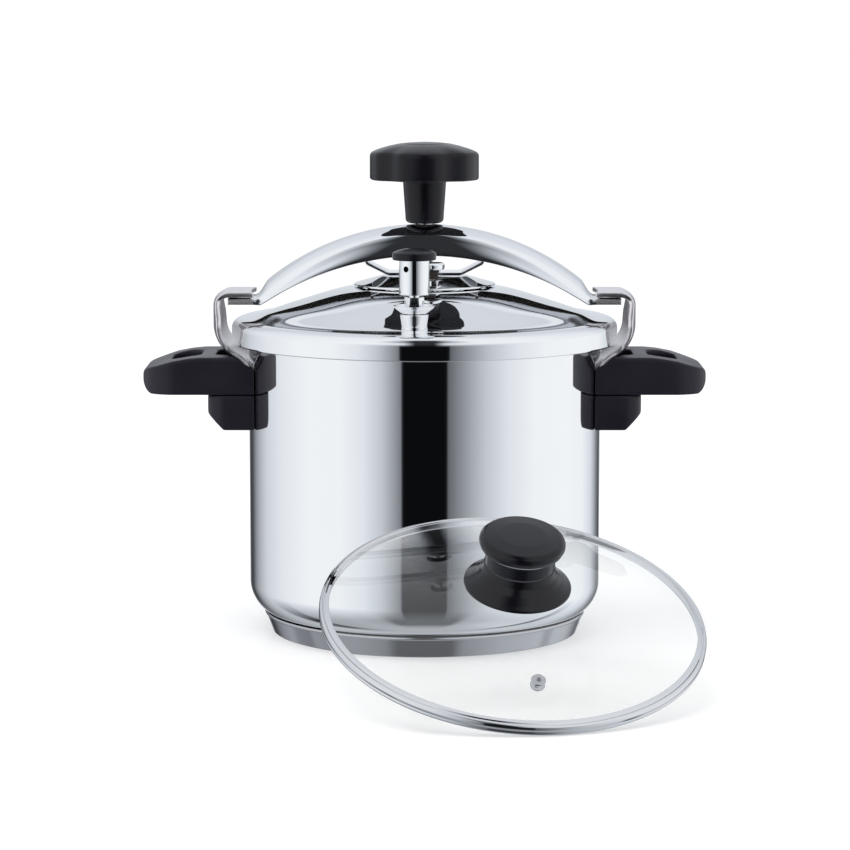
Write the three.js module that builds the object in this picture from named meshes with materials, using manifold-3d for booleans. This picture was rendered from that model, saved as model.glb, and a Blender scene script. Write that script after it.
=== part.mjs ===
// Stovetop pressure cooker with a crossbar closure, and its glass lid.
// Millimetres, +Z up. The origin is the centre of the underside of the base; the handles lie on X
// and the regulator valve faces -Y.
import * as THREE from 'three';
import { mergeVertices } from 'three/addons/utils/BufferGeometryUtils.js';
import Module from 'manifold-3d';

const wasm = await Module();
wasm.setup();

// ---------------------------------------------------------------- driving dimensions
const GAP = 0.3; // running and seating clearance between neighbouring pieces
const ROUND = 36; // facets round the pot, the lids and the base
const MIDDLE_ROUND = 24; // facets round the knobs and the pressure plate
const SMALL_ROUND = 12; // facets round bolts, nuts and valves

// pot
const POT_RADIUS = 121;
const POT_WALL = 1.2;
const POT_FLOOR = 1.6;
const POT_CORNER = 24;
const RIM_HEIGHT = 208;
const FLARE_REACH = 7; // from the pot's wall
const FLARE_HEIGHT = 9;

// three-layer base
const CAP_INSET = 15; // from the pot's wall
const CAP_HEIGHT = 11;
const CAP_SHEET = 1;
const CAP_CORNER = 2.5;

// lid: reaches from the pot's wall, heights from the pot's rim
const SKIRT_REACH = 11.5;
const SKIRT_DROP = 7.6;
const LID_SHEET = 1.4;
const SHOULDER_DROP = 0.8;
const SHOULDER_CORNER = 6;
const CROWN_RISE = 33;

// pressure plate in the middle of the lid
const PLATE_RADIUS = 48.5;
const PLATE_LIP_DROP = 1.5; // from the lid's crown
const PLATE_RISE = 6.6;
const PLATE_SHEET = 1.6;
const PLATE_FLAT_RADIUS = 28;

// saddle that guides the crossbar on the plate
const SADDLE_SHEET = 2;
const SADDLE_FLAT = 25;
const SADDLE_REACH = 41;
const SADDLE_RISE = 8;
const SADDLE_LIP = 5.5;
const SADDLE_HALF_WIDTH = 14;
const SADDLE_FOOT_HOLE = 12;

// crossbar: its top is above the lid's crown, and both arcs run down to the tongues
const BAR_RISE = 40;
const BAR_TOP_ARCH = 45.7;
const BAR_DEPTH = 20.3;
const BAR_EDGE_ARCH = 36.4;
const BAR_HALF_WIDTH = 21;
const BAR_SHOULDER = 16;
const BAR_SHEET = 2;
const BAR_CROWN = 5.5;
const TONGUE_LENGTH = 18;
const TONGUE_HEIGHT = 4.8;
const NOSE_LENGTH = 6;
const HOOK_TIP_CLEARANCE = 2.6;

// hooks: reaches from the pot's wall, heights from the pot's rim
const HOOK_SHEET = 3.4;
const HOOK_REACH = 24;
const HOOK_TIP_REACH = -2;
const HOOK_BEND = 9.5;
const HOOK_RISE = 27.6;
const HOOK_TOP_HALF_WIDTH = 24;
const HOOK_FOOT_HALF_WIDTH = 28;
const HOOK_LOWER_BEND = 24;
const HOOK_SLOPE = THREE.MathUtils.degToRad(34);
const HOOK_SLOPE_DROP = 22;
const HOOK_LENGTH = 36; // of the wall plate
const HOOK_EDGE_SHOWN = 1; // what the handle leaves bare of the hook's edge
const RIVET_RADIUS = 3;
const RIVET_HEAD = 5;
const RIVET_HEAD_HEIGHT = 2;
const RIVET_SPREAD = 20;
const RIVET_LOW = 10; // from the hook's foot
const RIVET_HIGH = 24;

// handles: reaches from the pot's wall, the top from the pot's rim
const GRIP_DROP = 15.5;
const GRIP_HEIGHT = 25.5;
const GRIP_LENGTH = 71.5;
const GRIP_HALF_DEPTH = 38;
const GRIP_END_CORNER = 24;
const GRIP_BEVEL = 4.5;
const GRIP_NOSE_DROP = 7.5;
const GRIP_NOSE_LENGTH = 40.5;
const FINGER_END = 19; // from the end of the grip
const FINGER_WIDTH = 20;
const FINGER_HALF_LENGTH = 21;
const HOOK_POCKET_REACH = 22;
const HOOK_POCKET_HALF_LENGTH = 19;
const HOOK_POCKET_DEPTH = 9;
const HEEL_LENGTH = 26.6;
const HEEL_HEIGHT = 24;
const HEEL_CHAMFER = 11;
const HEEL_CORNER = 12;
const BRACKET_SHEET = 2.4;
const BRACKET_HALF_WIDTH = 13;
const BRACKET_LEG = 15;
const BRACKET_LENGTH = 21;
const HANDLE_BOLT_REACH = 13.5;
const HANDLE_BOLT_RADIUS = 2.5;
const HANDLE_BOLT_HEAD = 4.8;
const HANDLE_BOLT_HEAD_HEIGHT = 3.5;
const BOLT_WELL_RADIUS = 6.5;
const BOLT_WELL_DEPTH = 8;
const HANDLE_WASHER_RADIUS = 5.8;
const HANDLE_WASHER_SHEET = 1;
const HANDLE_INSERT_RADIUS = 4.6;
const HANDLE_INSERT_HEIGHT = 12;
const RIVET_POCKET_DEPTH = 2.6;

// screw spindle and knob
const SPINDLE_RADIUS = 6;
const BUSH_RADIUS = 9;
const BUSH_FLANGE = 12.5;
const BUSH_FLANGE_HEIGHT = 3;
const BUSH_LENGTH = 9;
const FOOT_RADIUS = 11;
const FOOT_HEIGHT = 7;
const FOOT_SOCKET_DEPTH = 3.5;
const KNOB_CLEARANCE = 0.6; // stem over the crossbar
const KNOB_STEM_HEIGHT = 29.6;
const KNOB_STEM_FOOT_RADIUS = 13.1;
const KNOB_STEM_HEAD_RADIUS = 14.8;
const KNOB_DISC_HEIGHT = 25.8;
const KNOB_RISE = 7.7; // of the domed top
const KNOB_RADIUS = 37.5;
const KNOB_LOBES = 5;
const KNOB_LOBE_ANGLE = THREE.MathUtils.degToRad(30);
const KNOB_LOBE_TURN = THREE.MathUtils.degToRad(-96.3);
const KNOB_SCALLOP_DEPTH = 3.4;
const KNOB_EDGE_BEVEL = 2.2;
const KNOB_CAP_RADIUS = 17;
const KNOB_CAP_SHEET = 1.5;
const KNOB_SCREW_WELL_RADIUS = 7.5;
const KNOB_SCREW_WELL_DEPTH = 10;
const KNOB_SCREW_HEAD = 5.5;
const KNOB_SCREW_HEAD_HEIGHT = 4;
const KNOB_INSERT_RADIUS = 9;
const KNOB_INSERT_HEIGHT = 24;

// regulator valve, from the pot's wall at the front; heights from the lid's crown
const VALVE_X = -6.7;
const VALVE_INSET = 15;
const VALVE_HOLE = 4.2;
const COLLAR_DROP = 12;
const COLLAR_TOP_RADIUS = 9.4;
const COLLAR_FOOT_RADIUS = 8.2;
const CUP_RADIUS = 14;
const CUP_FOOT_RADIUS = 8.2;
const CUP_HEIGHT = 5.4;
const CUP_SHEET = 1.1;
const NIPPLE_BORE = 1.3;
const NIPPLE_RADIUS = 3.9;
const NIPPLE_HEX_RADIUS = 5.2;
const NIPPLE_HEX_HEIGHT = 9.5;
const NIPPLE_CONE_RADIUS = 3.4;
const NIPPLE_CONE_HEIGHT = 4;
const NIPPLE_THREAD = 7; // below the inside nut
const WEIGHT_RADIUS = 10;
const WEIGHT_RISE = 0.8;
const WEIGHT_HEIGHT = 24.5;
const WEIGHT_BORE = 4.4;
const STEAM_HOLE_RADIUS = 2;
const STEAM_HOLE_DROP = 8.3; // from the top of the weight
const WEIGHT_CAP_RADIUS = 14.4;
const WEIGHT_CAP_SKIRT = 1.7;
const WEIGHT_CAP_EDGE = 5;
const WEIGHT_CAP_HEIGHT = 7.8;
const NEEDLE_RADIUS = 1;
const NEEDLE_HEAD_RADIUS = 4;
const NUT_RADIUS = 9;
const NUT_HEIGHT = 7;

// safety valve, which stands on the lid through a hole in the pressure plate
const SAFETY_X = 5;
const SAFETY_INSET = 12.5; // from the plate's edge at the front
const SAFETY_HOLE = 4.2;
const SAFETY_BASE_RADIUS = 7;
const SAFETY_BASE_HEIGHT = 5.4;
const SAFETY_SEAL_RADIUS = 4.6;
const SAFETY_SEAL_WAIST = 3.1;
const SAFETY_SEAL_HEIGHT = 6.6;
const SAFETY_STEM_RADIUS = 1.8;
const SAFETY_HEAD_RADIUS = 8.6;
const SAFETY_HEAD_HEIGHT = 4.6;
const SPRING_WIRE = 0.6;
const SPRING_RADIUS = 3.2;
const SPRING_TURNS = 4;
const SPRING_LENGTH = 9;

// gasket in the lid channel
const GASKET_REACH = 3.5; // inwards from the pot's wall
const GASKET_HEIGHT = 7;

// glass lid
const GLASS_RIM_OVERHANG = 0.5; // beyond the pot's wall
const GLASS_RIM_HEIGHT = 6.6;
const GLASS_RIM_WIDTH = 6;
const GLASS_RIM_SHEET = 0.9;
const GLASS_RIM_EDGE = 1;
const GLASS_SHEET = 4;
const GLASS_RISE = 26;
const GLASS_TILT = THREE.MathUtils.degToRad(22);
const GLASS_BEARING = THREE.MathUtils.degToRad(13.6);
const GLASS_KNOB_BASE_RADIUS = 33.6;
const GLASS_KNOB_NECK_RADIUS = 21.8;
const GLASS_KNOB_BASE_HEIGHT = 14;
const GLASS_KNOB_TOP_RADIUS = 26.9;
const GLASS_KNOB_TOP_HEIGHT = 21;
const GLASS_SCREW_RADIUS = 2.5;
const GLASS_SCREW_HEAD = 6;
const GLASS_WASHER_RADIUS = 9;
const GLASS_WASHER_SHEET = 1.5;
const VENT_RADIUS = 4.8;
const VENT_BORE = 1.6;
const VENT_INSET = 33.5; // from the rim
const VENT_BEARING = THREE.MathUtils.degToRad(-95);

// ---------------------------------------------------------------- places that follow from them
const FLARE_RADIUS = POT_RADIUS + FLARE_REACH;
const CAP_RADIUS = POT_RADIUS - CAP_INSET;
const SKIRT_RADIUS = POT_RADIUS + SKIRT_REACH;
const SKIRT_BOTTOM = RIM_HEIGHT - SKIRT_DROP;
const SHOULDER_HEIGHT = RIM_HEIGHT - SHOULDER_DROP;
const CROWN_HEIGHT = RIM_HEIGHT + CROWN_RISE;
const PLATE_LIP_HEIGHT = CROWN_HEIGHT - PLATE_LIP_DROP;
const HOOK_FACE = POT_RADIUS + HOOK_REACH;
const HOOK_TIP = POT_RADIUS + HOOK_TIP_REACH;
const HOOK_TOP = RIM_HEIGHT + HOOK_RISE;
const HOOK_WALL_TOP = RIM_HEIGHT - HOOK_SLOPE_DROP;
const HOOK_FOOT = HOOK_WALL_TOP - HOOK_LENGTH;
const GRIP_TOP = RIM_HEIGHT - GRIP_DROP;
const GRIP_BOTTOM = GRIP_TOP - GRIP_HEIGHT;
const GRIP_REACH = POT_RADIUS + GRIP_LENGTH;
const HEEL_REACH = POT_RADIUS + HEEL_LENGTH;
const HEEL_BOTTOM = GRIP_BOTTOM - HEEL_HEIGHT;
const BAR_TOP = CROWN_HEIGHT + BAR_RISE;
const BAR_EDGE = BAR_TOP - BAR_DEPTH;
const KNOB_STEM_BOTTOM = BAR_TOP + KNOB_CLEARANCE;
const KNOB_DISC_BOTTOM = KNOB_STEM_BOTTOM + KNOB_STEM_HEIGHT;
const KNOB_TOP = KNOB_DISC_BOTTOM + KNOB_DISC_HEIGHT;
const KNOB_DISC_EDGE = KNOB_TOP - KNOB_RISE;
const VALVE_Y = VALVE_INSET - POT_RADIUS;
const COLLAR_TOP = CROWN_HEIGHT - COLLAR_DROP;
const WEIGHT_BOTTOM = CROWN_HEIGHT + WEIGHT_RISE;
const WEIGHT_TOP = WEIGHT_BOTTOM + WEIGHT_HEIGHT;
const SAFETY_Y = SAFETY_INSET - PLATE_RADIUS;
const GASKET_INNER = POT_RADIUS - GASKET_REACH;
const GLASS_RIM_RADIUS = POT_RADIUS + GLASS_RIM_OVERHANG;
const VENT_PLACE = GLASS_RIM_RADIUS - VENT_INSET;

// ---------------------------------------------------------------- materials
const LOOKS = {
  steel: { color: 0xc9ccd0, roughness: 0.12, metalness: 1 },
  satinSteel: { color: 0xa9acb0, roughness: 0.35, metalness: 1 },
  aluminium: { color: 0xb4b6b8, roughness: 0.45, metalness: 1 },
  brass: { color: 0xb08d4a, roughness: 0.3, metalness: 1 },
  phenolic: { color: 0x17181b, roughness: 0.42, metalness: 0 },
  silicone: { color: 0xd8d4c8, roughness: 0.6, metalness: 0 },
  redSilicone: { color: 0x7a1f1a, roughness: 0.55, metalness: 0 },
  glass: { color: 0xdfeeea, roughness: 0.03, metalness: 0 },
};

const cooker = new THREE.Group();

function add(name, geometry, look, parent = cooker) {
  const piece = new THREE.Mesh(geometry, new THREE.MeshStandardMaterial(LOOKS[look]));
  piece.name = name;
  parent.add(piece);
  return piece;
}

// ---------------------------------------------------------------- shape helpers

// Facets round a turned piece, by its largest radius.
function facetsFor(outline) {
  const radius = Math.max(...outline.map((point) => point[0]));
  if (radius > 60) {
    return ROUND;
  }
  return radius > 20 ? MIDDLE_ROUND : SMALL_ROUND;
}

// Turns an outline of [radius, height] pairs about Z. The outline runs anticlockwise.
function turned(outline, segments = facetsFor(outline)) {
  const points = outline.map(([radius, height]) => new THREE.Vector2(radius, height));
  return new THREE.LatheGeometry(points, segments).rotateX(Math.PI / 2);
}

// A closed ring's outline: the same as above with its first point repeated.
function turnedRing(outline, segments = facetsFor(outline)) {
  return turned([...outline, outline[0]], segments);
}

// Points of an arc about [cx, cz] in degrees, both ends included.
function arc(cx, cz, radius, from, to, steps) {
  const points = [];
  for (let i = 0; i <= steps; i += 1) {
    const angle = THREE.MathUtils.degToRad(from + ((to - from) * i) / steps);
    points.push([cx + radius * Math.cos(angle), cz + radius * Math.sin(angle)]);
  }
  return points;
}

function shapeOf(points) {
  return new THREE.Shape(points.map(([x, y]) => new THREE.Vector2(x, y)));
}

// A prism of an XY outline between two heights, with an optional bevel that stays inside it.
function prism(shape, low, high, bevel = 0, curveSegments = 6) {
  const geometry = new THREE.ExtrudeGeometry(shape, {
    depth: high - low - 2 * bevel,
    bevelEnabled: bevel > 0,
    bevelThickness: bevel,
    bevelSize: bevel,
    bevelOffset: -bevel,
    bevelSegments: 2,
    curveSegments,
    steps: 1,
  });
  return geometry.translate(0, 0, low + bevel);
}

// A prism of an XZ outline that spans y from -half to +half.
function slab(points, half) {
  const geometry = new THREE.ExtrudeGeometry(shapeOf(points), { depth: 2 * half, bevelEnabled: false });
  return geometry.translate(0, 0, -half).rotateX(Math.PI / 2);
}

function box(lowX, highX, lowY, highY, lowZ, highZ) {
  const geometry = new THREE.BoxGeometry(highX - lowX, highY - lowY, highZ - lowZ);
  return geometry.translate((lowX + highX) / 2, (lowY + highY) / 2, (lowZ + highZ) / 2);
}

function rod(radius, low, high, segments) {
  return turned([[0, low], [radius, low], [radius, high], [0, high]], segments);
}

function tube(inner, outer, low, high, segments) {
  return turnedRing([[inner, low], [outer, low], [outer, high], [inner, high]], segments);
}

// A rounded slot outline about the Y axis: x from inner to outer, y from -half to +half.
function slotShape(inner, outer, half) {
  const radius = (outer - inner) / 2;
  const centre = (outer + inner) / 2;
  const upper = arc(centre, half - radius, radius, 0, 180, 8);
  const lower = arc(centre, radius - half, radius, 180, 360, 8);
  return shapeOf([...upper, ...lower]);
}

// Joins rings of equal length into one closed body; the rings run anticlockwise seen from the last.
function lofted(rings) {
  const count = rings[0].length;
  const positions = rings.flat().flatMap((point) => [point.x, point.y, point.z]);
  const index = [];
  for (let ring = 0; ring < rings.length - 1; ring += 1) {
    for (let i = 0; i < count; i += 1) {
      const a = ring * count + i;
      const b = ring * count + ((i + 1) % count);
      index.push(a, b, b + count, a, b + count, a + count);
    }
  }
  const cap = THREE.ShapeUtils.triangulateShape(rings[0].map((p) => new THREE.Vector2(p.y, p.z)), []);
  const last = (rings.length - 1) * count;
  for (const [a, b, c] of cap) {
    index.push(c, b, a);
    index.push(last + a, last + b, last + c);
  }
  const geometry = new THREE.BufferGeometry();
  geometry.setAttribute('position', new THREE.Float32BufferAttribute(positions, 3));
  geometry.setIndex(index);
  geometry.computeVertexNormals();
  return geometry;
}

function solid(geometry) {
  const bare = geometry.clone();
  bare.deleteAttribute('normal');
  bare.deleteAttribute('uv');
  const merged = mergeVertices(bare, 1e-4);
  const corners = merged.index.array;
  const kept = [];
  for (let i = 0; i < corners.length; i += 3) {
    const [a, b, c] = [corners[i], corners[i + 1], corners[i + 2]];
    if (a !== b && b !== c && c !== a) {
      kept.push(a, b, c);
    }
  }
  return new wasm.Manifold(new wasm.Mesh({
    numProp: 3,
    vertProperties: merged.attributes.position.array,
    triVerts: Uint32Array.from(kept),
  }));
}

function geometryOf(body) {
  const mesh = body.getMesh();
  const geometry = new THREE.BufferGeometry();
  geometry.setAttribute('position', new THREE.BufferAttribute(mesh.vertProperties, 3));
  geometry.setIndex(new THREE.BufferAttribute(mesh.triVerts, 1));
  geometry.computeVertexNormals();
  return geometry;
}

// First geometry with the others taken away from it.
function cut(geometry, ...tools) {
  return geometryOf(tools.reduce((body, tool) => body.subtract(solid(tool)), solid(geometry)));
}

function joined(...geometries) {
  return geometryOf(geometries.map(solid).reduce((body, other) => body.add(other)));
}

function common(a, b) {
  return geometryOf(solid(a).intersect(solid(b)));
}

// The half turn that makes the left-hand copy of a right-hand piece.
function leftCopy(geometry) {
  return geometry.clone().rotateZ(Math.PI);
}

// ---------------------------------------------------------------- pot and base
const FLOOR_HEIGHT = CAP_HEIGHT + GAP;
const CORNER_CENTRE = POT_RADIUS - POT_CORNER;
const FLARE_START = RIM_HEIGHT - FLARE_HEIGHT;

function potBody() {
  const innerCorner = POT_CORNER - POT_WALL;
  const innerFloor = FLOOR_HEIGHT + POT_FLOOR;
  const flareInner = FLARE_RADIUS - POT_WALL;
  const outline = [
    [0, FLOOR_HEIGHT],
    ...arc(CORNER_CENTRE, FLOOR_HEIGHT + POT_CORNER, POT_CORNER, -90, 0, 4),
    [POT_RADIUS, FLARE_START],
    [POT_RADIUS + 2, FLARE_START + 4.2],
    [FLARE_RADIUS, RIM_HEIGHT - 2.2],
    [FLARE_RADIUS, RIM_HEIGHT],
    [flareInner, RIM_HEIGHT],
    [POT_RADIUS + 0.6, FLARE_START + 5],
    [POT_RADIUS - POT_WALL, FLARE_START],
    ...arc(CORNER_CENTRE, innerFloor + innerCorner, innerCorner, 0, -90, 4),
    [0, innerFloor],
  ];
  return turned(outline);
}

function baseCap() {
  const inner = CAP_RADIUS - CAP_SHEET;
  return turned([
    [0, 0],
    [CAP_RADIUS - CAP_CORNER, 0],
    ...arc(CAP_RADIUS - CAP_CORNER, CAP_CORNER, CAP_CORNER, -60, 0, 2),
    [CAP_RADIUS, CAP_HEIGHT],
    [inner, CAP_HEIGHT],
    [inner, CAP_CORNER],
    [inner - CAP_CORNER + CAP_SHEET, CAP_SHEET],
    [0, CAP_SHEET],
  ]);
}

function baseCore() {
  const radius = CAP_RADIUS - CAP_SHEET - GAP;
  return turned([
    [0, CAP_SHEET + GAP],
    [radius - CAP_CORNER, CAP_SHEET + GAP],
    [radius, CAP_CORNER + GAP],
    [radius, CAP_HEIGHT],
    [0, CAP_HEIGHT],
  ]);
}

// ---------------------------------------------------------------- hooks
// The plate's outer face, from its foot on the pot wall up to its inner end over the tongue.
// A positive offset gives a face that lies inside it, a negative one a face outside it.
const HOOK_WALL = POT_RADIUS + GAP;
const HOOK_WALL_FACE = HOOK_WALL + HOOK_SHEET;
const LOWER_CENTRE_X = HOOK_FACE - HOOK_LOWER_BEND;
const LOWER_TANGENT_X = LOWER_CENTRE_X + HOOK_LOWER_BEND * Math.sin(HOOK_SLOPE);
const LOWER_TANGENT_RISE = (LOWER_TANGENT_X - HOOK_WALL_FACE) * Math.tan(HOOK_SLOPE);
const LOWER_CENTRE_Z = HOOK_WALL_TOP + LOWER_TANGENT_RISE + HOOK_LOWER_BEND * Math.cos(HOOK_SLOPE);
const SLOPE_ANGLE = THREE.MathUtils.radToDeg(HOOK_SLOPE) - 90;

function hookSlopeHeight(radius, offset) {
  return HOOK_WALL_TOP + (radius - HOOK_WALL_FACE) * Math.tan(HOOK_SLOPE) + offset / Math.cos(HOOK_SLOPE);
}

function hookFace(offset = 0) {
  const wallFace = HOOK_WALL_FACE - offset;
  return [
    [wallFace, HOOK_FOOT],
    [wallFace, hookSlopeHeight(wallFace, offset)],
    ...arc(LOWER_CENTRE_X, LOWER_CENTRE_Z, HOOK_LOWER_BEND - offset, SLOPE_ANGLE, 0, 4),
    ...arc(HOOK_FACE - HOOK_BEND, HOOK_TOP - HOOK_BEND, HOOK_BEND - offset, 0, 90, 4),
    [HOOK_TIP, HOOK_TOP - offset],
  ];
}

// The hook's width as a prism along X that narrows from the foot to the top.
function hookWidth() {
  const foot = HOOK_FOOT_HALF_WIDTH;
  const top = HOOK_TOP_HALF_WIDTH;
  const shoulder = LOWER_CENTRE_Z - HOOK_BEND * 0.7;
  const shoulderEnd = LOWER_CENTRE_Z + HOOK_BEND * 0.5;
  const outline = shapeOf([
    [-foot, 0],
    [foot, 0],
    [foot, shoulder],
    [top, shoulderEnd],
    [top, HOOK_TOP * 2],
    [-top, HOOK_TOP * 2],
    [-top, shoulderEnd],
    [-foot, shoulder],
  ]);
  const geometry = new THREE.ExtrudeGeometry(outline, { depth: 2 * HOOK_FACE, bevelEnabled: false });
  return geometry.rotateX(Math.PI / 2).rotateZ(Math.PI / 2);
}

const HOOK_ROUND = 72;
const RIVET_TOP = HOOK_FOOT + RIVET_HIGH;
const RIVET_SIDES = HOOK_FOOT + RIVET_LOW;
const RIVET_PLACES = [[0, RIVET_TOP], [-RIVET_SPREAD, RIVET_SIDES], [RIVET_SPREAD, RIVET_SIDES]];

// A rod along the radius at a distance round the wall and a height.
function radialRod(radius, from, to, around, height) {
  const along = rod(radius, from, to, 8).rotateY(Math.PI / 2);
  return along.rotateZ(around / POT_RADIUS).translate(0, 0, height);
}

function rivetHoles(clearance) {
  return RIVET_PLACES.map(([around, height]) => (
    radialRod(RIVET_RADIUS + clearance, POT_RADIUS * 0.8, POT_RADIUS * 1.2, around, height)
  ));
}

function hook() {
  const plate = turnedRing([...hookFace(), ...hookFace(HOOK_SHEET).reverse()], HOOK_ROUND);
  return cut(common(plate, hookWidth()), ...rivetHoles(GAP));
}

function hookRivet(around, height) {
  const inside = (POT_RADIUS - POT_WALL) * Math.cos(Math.PI / ROUND) - GAP;
  const outside = HOOK_WALL_FACE + GAP;
  const turn = around / POT_RADIUS;
  const outline = [
    [0, inside - RIVET_HEAD_HEIGHT],
    [RIVET_HEAD * 0.7, inside - RIVET_HEAD_HEIGHT * 0.7],
    [RIVET_HEAD, inside],
    [RIVET_RADIUS, inside],
    [RIVET_RADIUS, outside],
    [RIVET_HEAD, outside],
    [RIVET_HEAD * 0.7, outside + RIVET_HEAD_HEIGHT * 0.7],
    [0, outside + RIVET_HEAD_HEIGHT],
  ];
  return turned(outline, 8).rotateY(Math.PI / 2).rotateZ(turn).translate(0, 0, height);
}

// ---------------------------------------------------------------- handles
// What the handle must stay clear of: the pot's wall and, at an offset, the hook's slope.
function wallRelief(offset) {
  const slopeFoot = hookSlopeHeight(HOOK_WALL, offset);
  const bend = arc(LOWER_CENTRE_X, LOWER_CENTRE_Z, HOOK_LOWER_BEND - offset, SLOPE_ANGLE, 0, 4);
  return turned([[0, 0], [HOOK_WALL, 0], [HOOK_WALL, slopeFoot], ...bend, [0, LOWER_CENTRE_Z]], HOOK_ROUND);
}

// The slot for the hook itself, between the handle's two cheeks.
function plateRelief() {
  const half = HOOK_FOOT_HALF_WIDTH + GAP;
  const plate = rod(HOOK_WALL_FACE + GAP, HEEL_BOTTOM, HOOK_WALL_TOP, HOOK_ROUND);
  return common(joined(plate, wallRelief(-GAP)), box(0, GRIP_REACH, -half, half, HOOK_FOOT - GAP, RIM_HEIGHT));
}

function rivetRelief() {
  const half = RIVET_SPREAD + RIVET_HEAD + GAP * 2;
  const low = RIVET_SIDES - RIVET_HEAD - GAP * 2;
  const high = RIVET_TOP + RIVET_HEAD + GAP * 2;
  const deep = rod(HOOK_WALL_FACE + RIVET_POCKET_DEPTH, HEEL_BOTTOM, HOOK_WALL_TOP, HOOK_ROUND);
  return common(deep, box(0, GRIP_REACH, -half, half, low, high));
}

// The cheeks cover the hook's edge but for a narrow strip.
const HANDLE_RELIEFS = [wallRelief(HOOK_SHEET - HOOK_EDGE_SHOWN), plateRelief(), rivetRelief()];

function gripPlan(reach, half, corner) {
  const inner = POT_RADIUS * 0.8;
  const front = arc(reach - corner, corner - half, corner, -90, 0, 5);
  const back = arc(reach - corner, half - corner, corner, 0, 90, 5);
  return shapeOf([[inner, -half], ...front, ...back, [inner, half]]);
}

function grip() {
  const plan = gripPlan(GRIP_REACH, GRIP_HALF_DEPTH, GRIP_END_CORNER);
  const blank = prism(plan, GRIP_BOTTOM, GRIP_TOP, GRIP_BEVEL);
  const noseTop = GRIP_TOP - GRIP_NOSE_DROP;
  const inner = POT_RADIUS * 0.7;
  const side = slab([
    [inner, GRIP_BOTTOM],
    [GRIP_REACH - GRIP_BEVEL * 3, GRIP_BOTTOM],
    [GRIP_REACH - GRIP_BEVEL, GRIP_BOTTOM + GRIP_BEVEL * 0.8],
    [GRIP_REACH, GRIP_BOTTOM + GRIP_BEVEL * 2],
    [GRIP_REACH, noseTop - GRIP_BEVEL * 0.7],
    [GRIP_REACH - GRIP_BEVEL * 0.8, noseTop],
    [GRIP_REACH - GRIP_NOSE_LENGTH * 0.5, GRIP_TOP - GRIP_NOSE_DROP * 0.4],
    [GRIP_REACH - GRIP_NOSE_LENGTH, GRIP_TOP],
    [inner, GRIP_TOP],
  ], GRIP_HALF_DEPTH * 1.1);
  return common(blank, side);
}

// The thick root of the handle between two heights, with the outer face of the heel.
function root(low, high) {
  const blank = prism(gripPlan(HEEL_REACH, GRIP_HALF_DEPTH, HEEL_CORNER), low, high);
  const inner = POT_RADIUS * 0.7;
  const side = slab([
    [inner, HEEL_BOTTOM],
    [HEEL_REACH - HEEL_CHAMFER, HEEL_BOTTOM],
    [HEEL_REACH, HEEL_BOTTOM + HEEL_CHAMFER],
    [HEEL_REACH, GRIP_TOP],
    [inner, GRIP_TOP],
  ], GRIP_HALF_DEPTH * 1.1);
  return common(blank, side);
}

function onBolt(geometry) {
  return geometry.translate(POT_RADIUS + HANDLE_BOLT_REACH, 0, 0);
}

function handleGrip() {
  const fingerOuter = GRIP_REACH - FINGER_END;
  const fingerShape = slotShape(fingerOuter - FINGER_WIDTH, fingerOuter, FINGER_HALF_LENGTH);
  const finger = prism(fingerShape, 0, GRIP_TOP * 1.1);
  const pocketOuter = POT_RADIUS + HOOK_POCKET_REACH;
  const pocketShape = slotShape(pocketOuter - FINGER_WIDTH * 0.7, pocketOuter, HOOK_POCKET_HALF_LENGTH);
  const pocket = prism(pocketShape, GRIP_TOP - HOOK_POCKET_DEPTH, GRIP_TOP * 1.1);
  const insertTop = GRIP_BOTTOM + HANDLE_INSERT_HEIGHT + GAP * 2;
  const insertHole = onBolt(rod(HANDLE_INSERT_RADIUS + GAP, 0, insertTop));
  const blank = joined(grip(), root(GRIP_BOTTOM, GRIP_BOTTOM + GRIP_BEVEL * 1.2));
  return cut(blank, ...HANDLE_RELIEFS, finger, pocket, insertHole);
}

const BRACKET_TOP = GRIP_BOTTOM - GAP;
const BRACKET_FACE = HOOK_WALL_FACE + GAP;
const BOLT_WELL_FLOOR = HEEL_BOTTOM + BOLT_WELL_DEPTH;

// The angle bracket, grown by a clearance when it is used to hollow the heel.
function bracketBody(grow) {
  const half = BRACKET_HALF_WIDTH + grow;
  const foot = BRACKET_TOP - BRACKET_LEG - grow;
  const low = BRACKET_TOP - BRACKET_SHEET - grow;
  const leg = common(
    tube(BRACKET_FACE - grow, BRACKET_FACE + BRACKET_SHEET + grow, foot, BRACKET_TOP, HOOK_ROUND),
    box(0, GRIP_REACH, -half, half, 0, GRIP_TOP),
  );
  const reach = POT_RADIUS + BRACKET_LENGTH + grow;
  return joined(leg, box(BRACKET_FACE + grow, reach, -half, half, low, BRACKET_TOP));
}

function handleBracket() {
  return cut(bracketBody(0), onBolt(rod(HANDLE_BOLT_RADIUS + GAP, 0, GRIP_TOP)));
}

function handleHeel() {
  return cut(
    root(HEEL_BOTTOM, BRACKET_TOP),
    ...HANDLE_RELIEFS,
    bracketBody(GAP),
    onBolt(rod(HANDLE_BOLT_RADIUS + GAP, 0, GRIP_TOP)),
    onBolt(rod(BOLT_WELL_RADIUS, 0, BOLT_WELL_FLOOR)),
  );
}

function handleWasher() {
  const top = BOLT_WELL_FLOOR - GAP;
  return onBolt(tube(HANDLE_BOLT_RADIUS + GAP, HANDLE_WASHER_RADIUS, top - HANDLE_WASHER_SHEET, top));
}

function handleBolt() {
  const seat = BOLT_WELL_FLOOR - GAP * 2 - HANDLE_WASHER_SHEET;
  const tip = GRIP_BOTTOM + HANDLE_INSERT_HEIGHT - 1;
  return onBolt(turned([
    [0, seat - HANDLE_BOLT_HEAD_HEIGHT],
    [HANDLE_BOLT_HEAD, seat - HANDLE_BOLT_HEAD_HEIGHT],
    [HANDLE_BOLT_HEAD, seat],
    [HANDLE_BOLT_RADIUS, seat],
    [HANDLE_BOLT_RADIUS, tip],
    [0, tip],
  ]));
}

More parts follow.
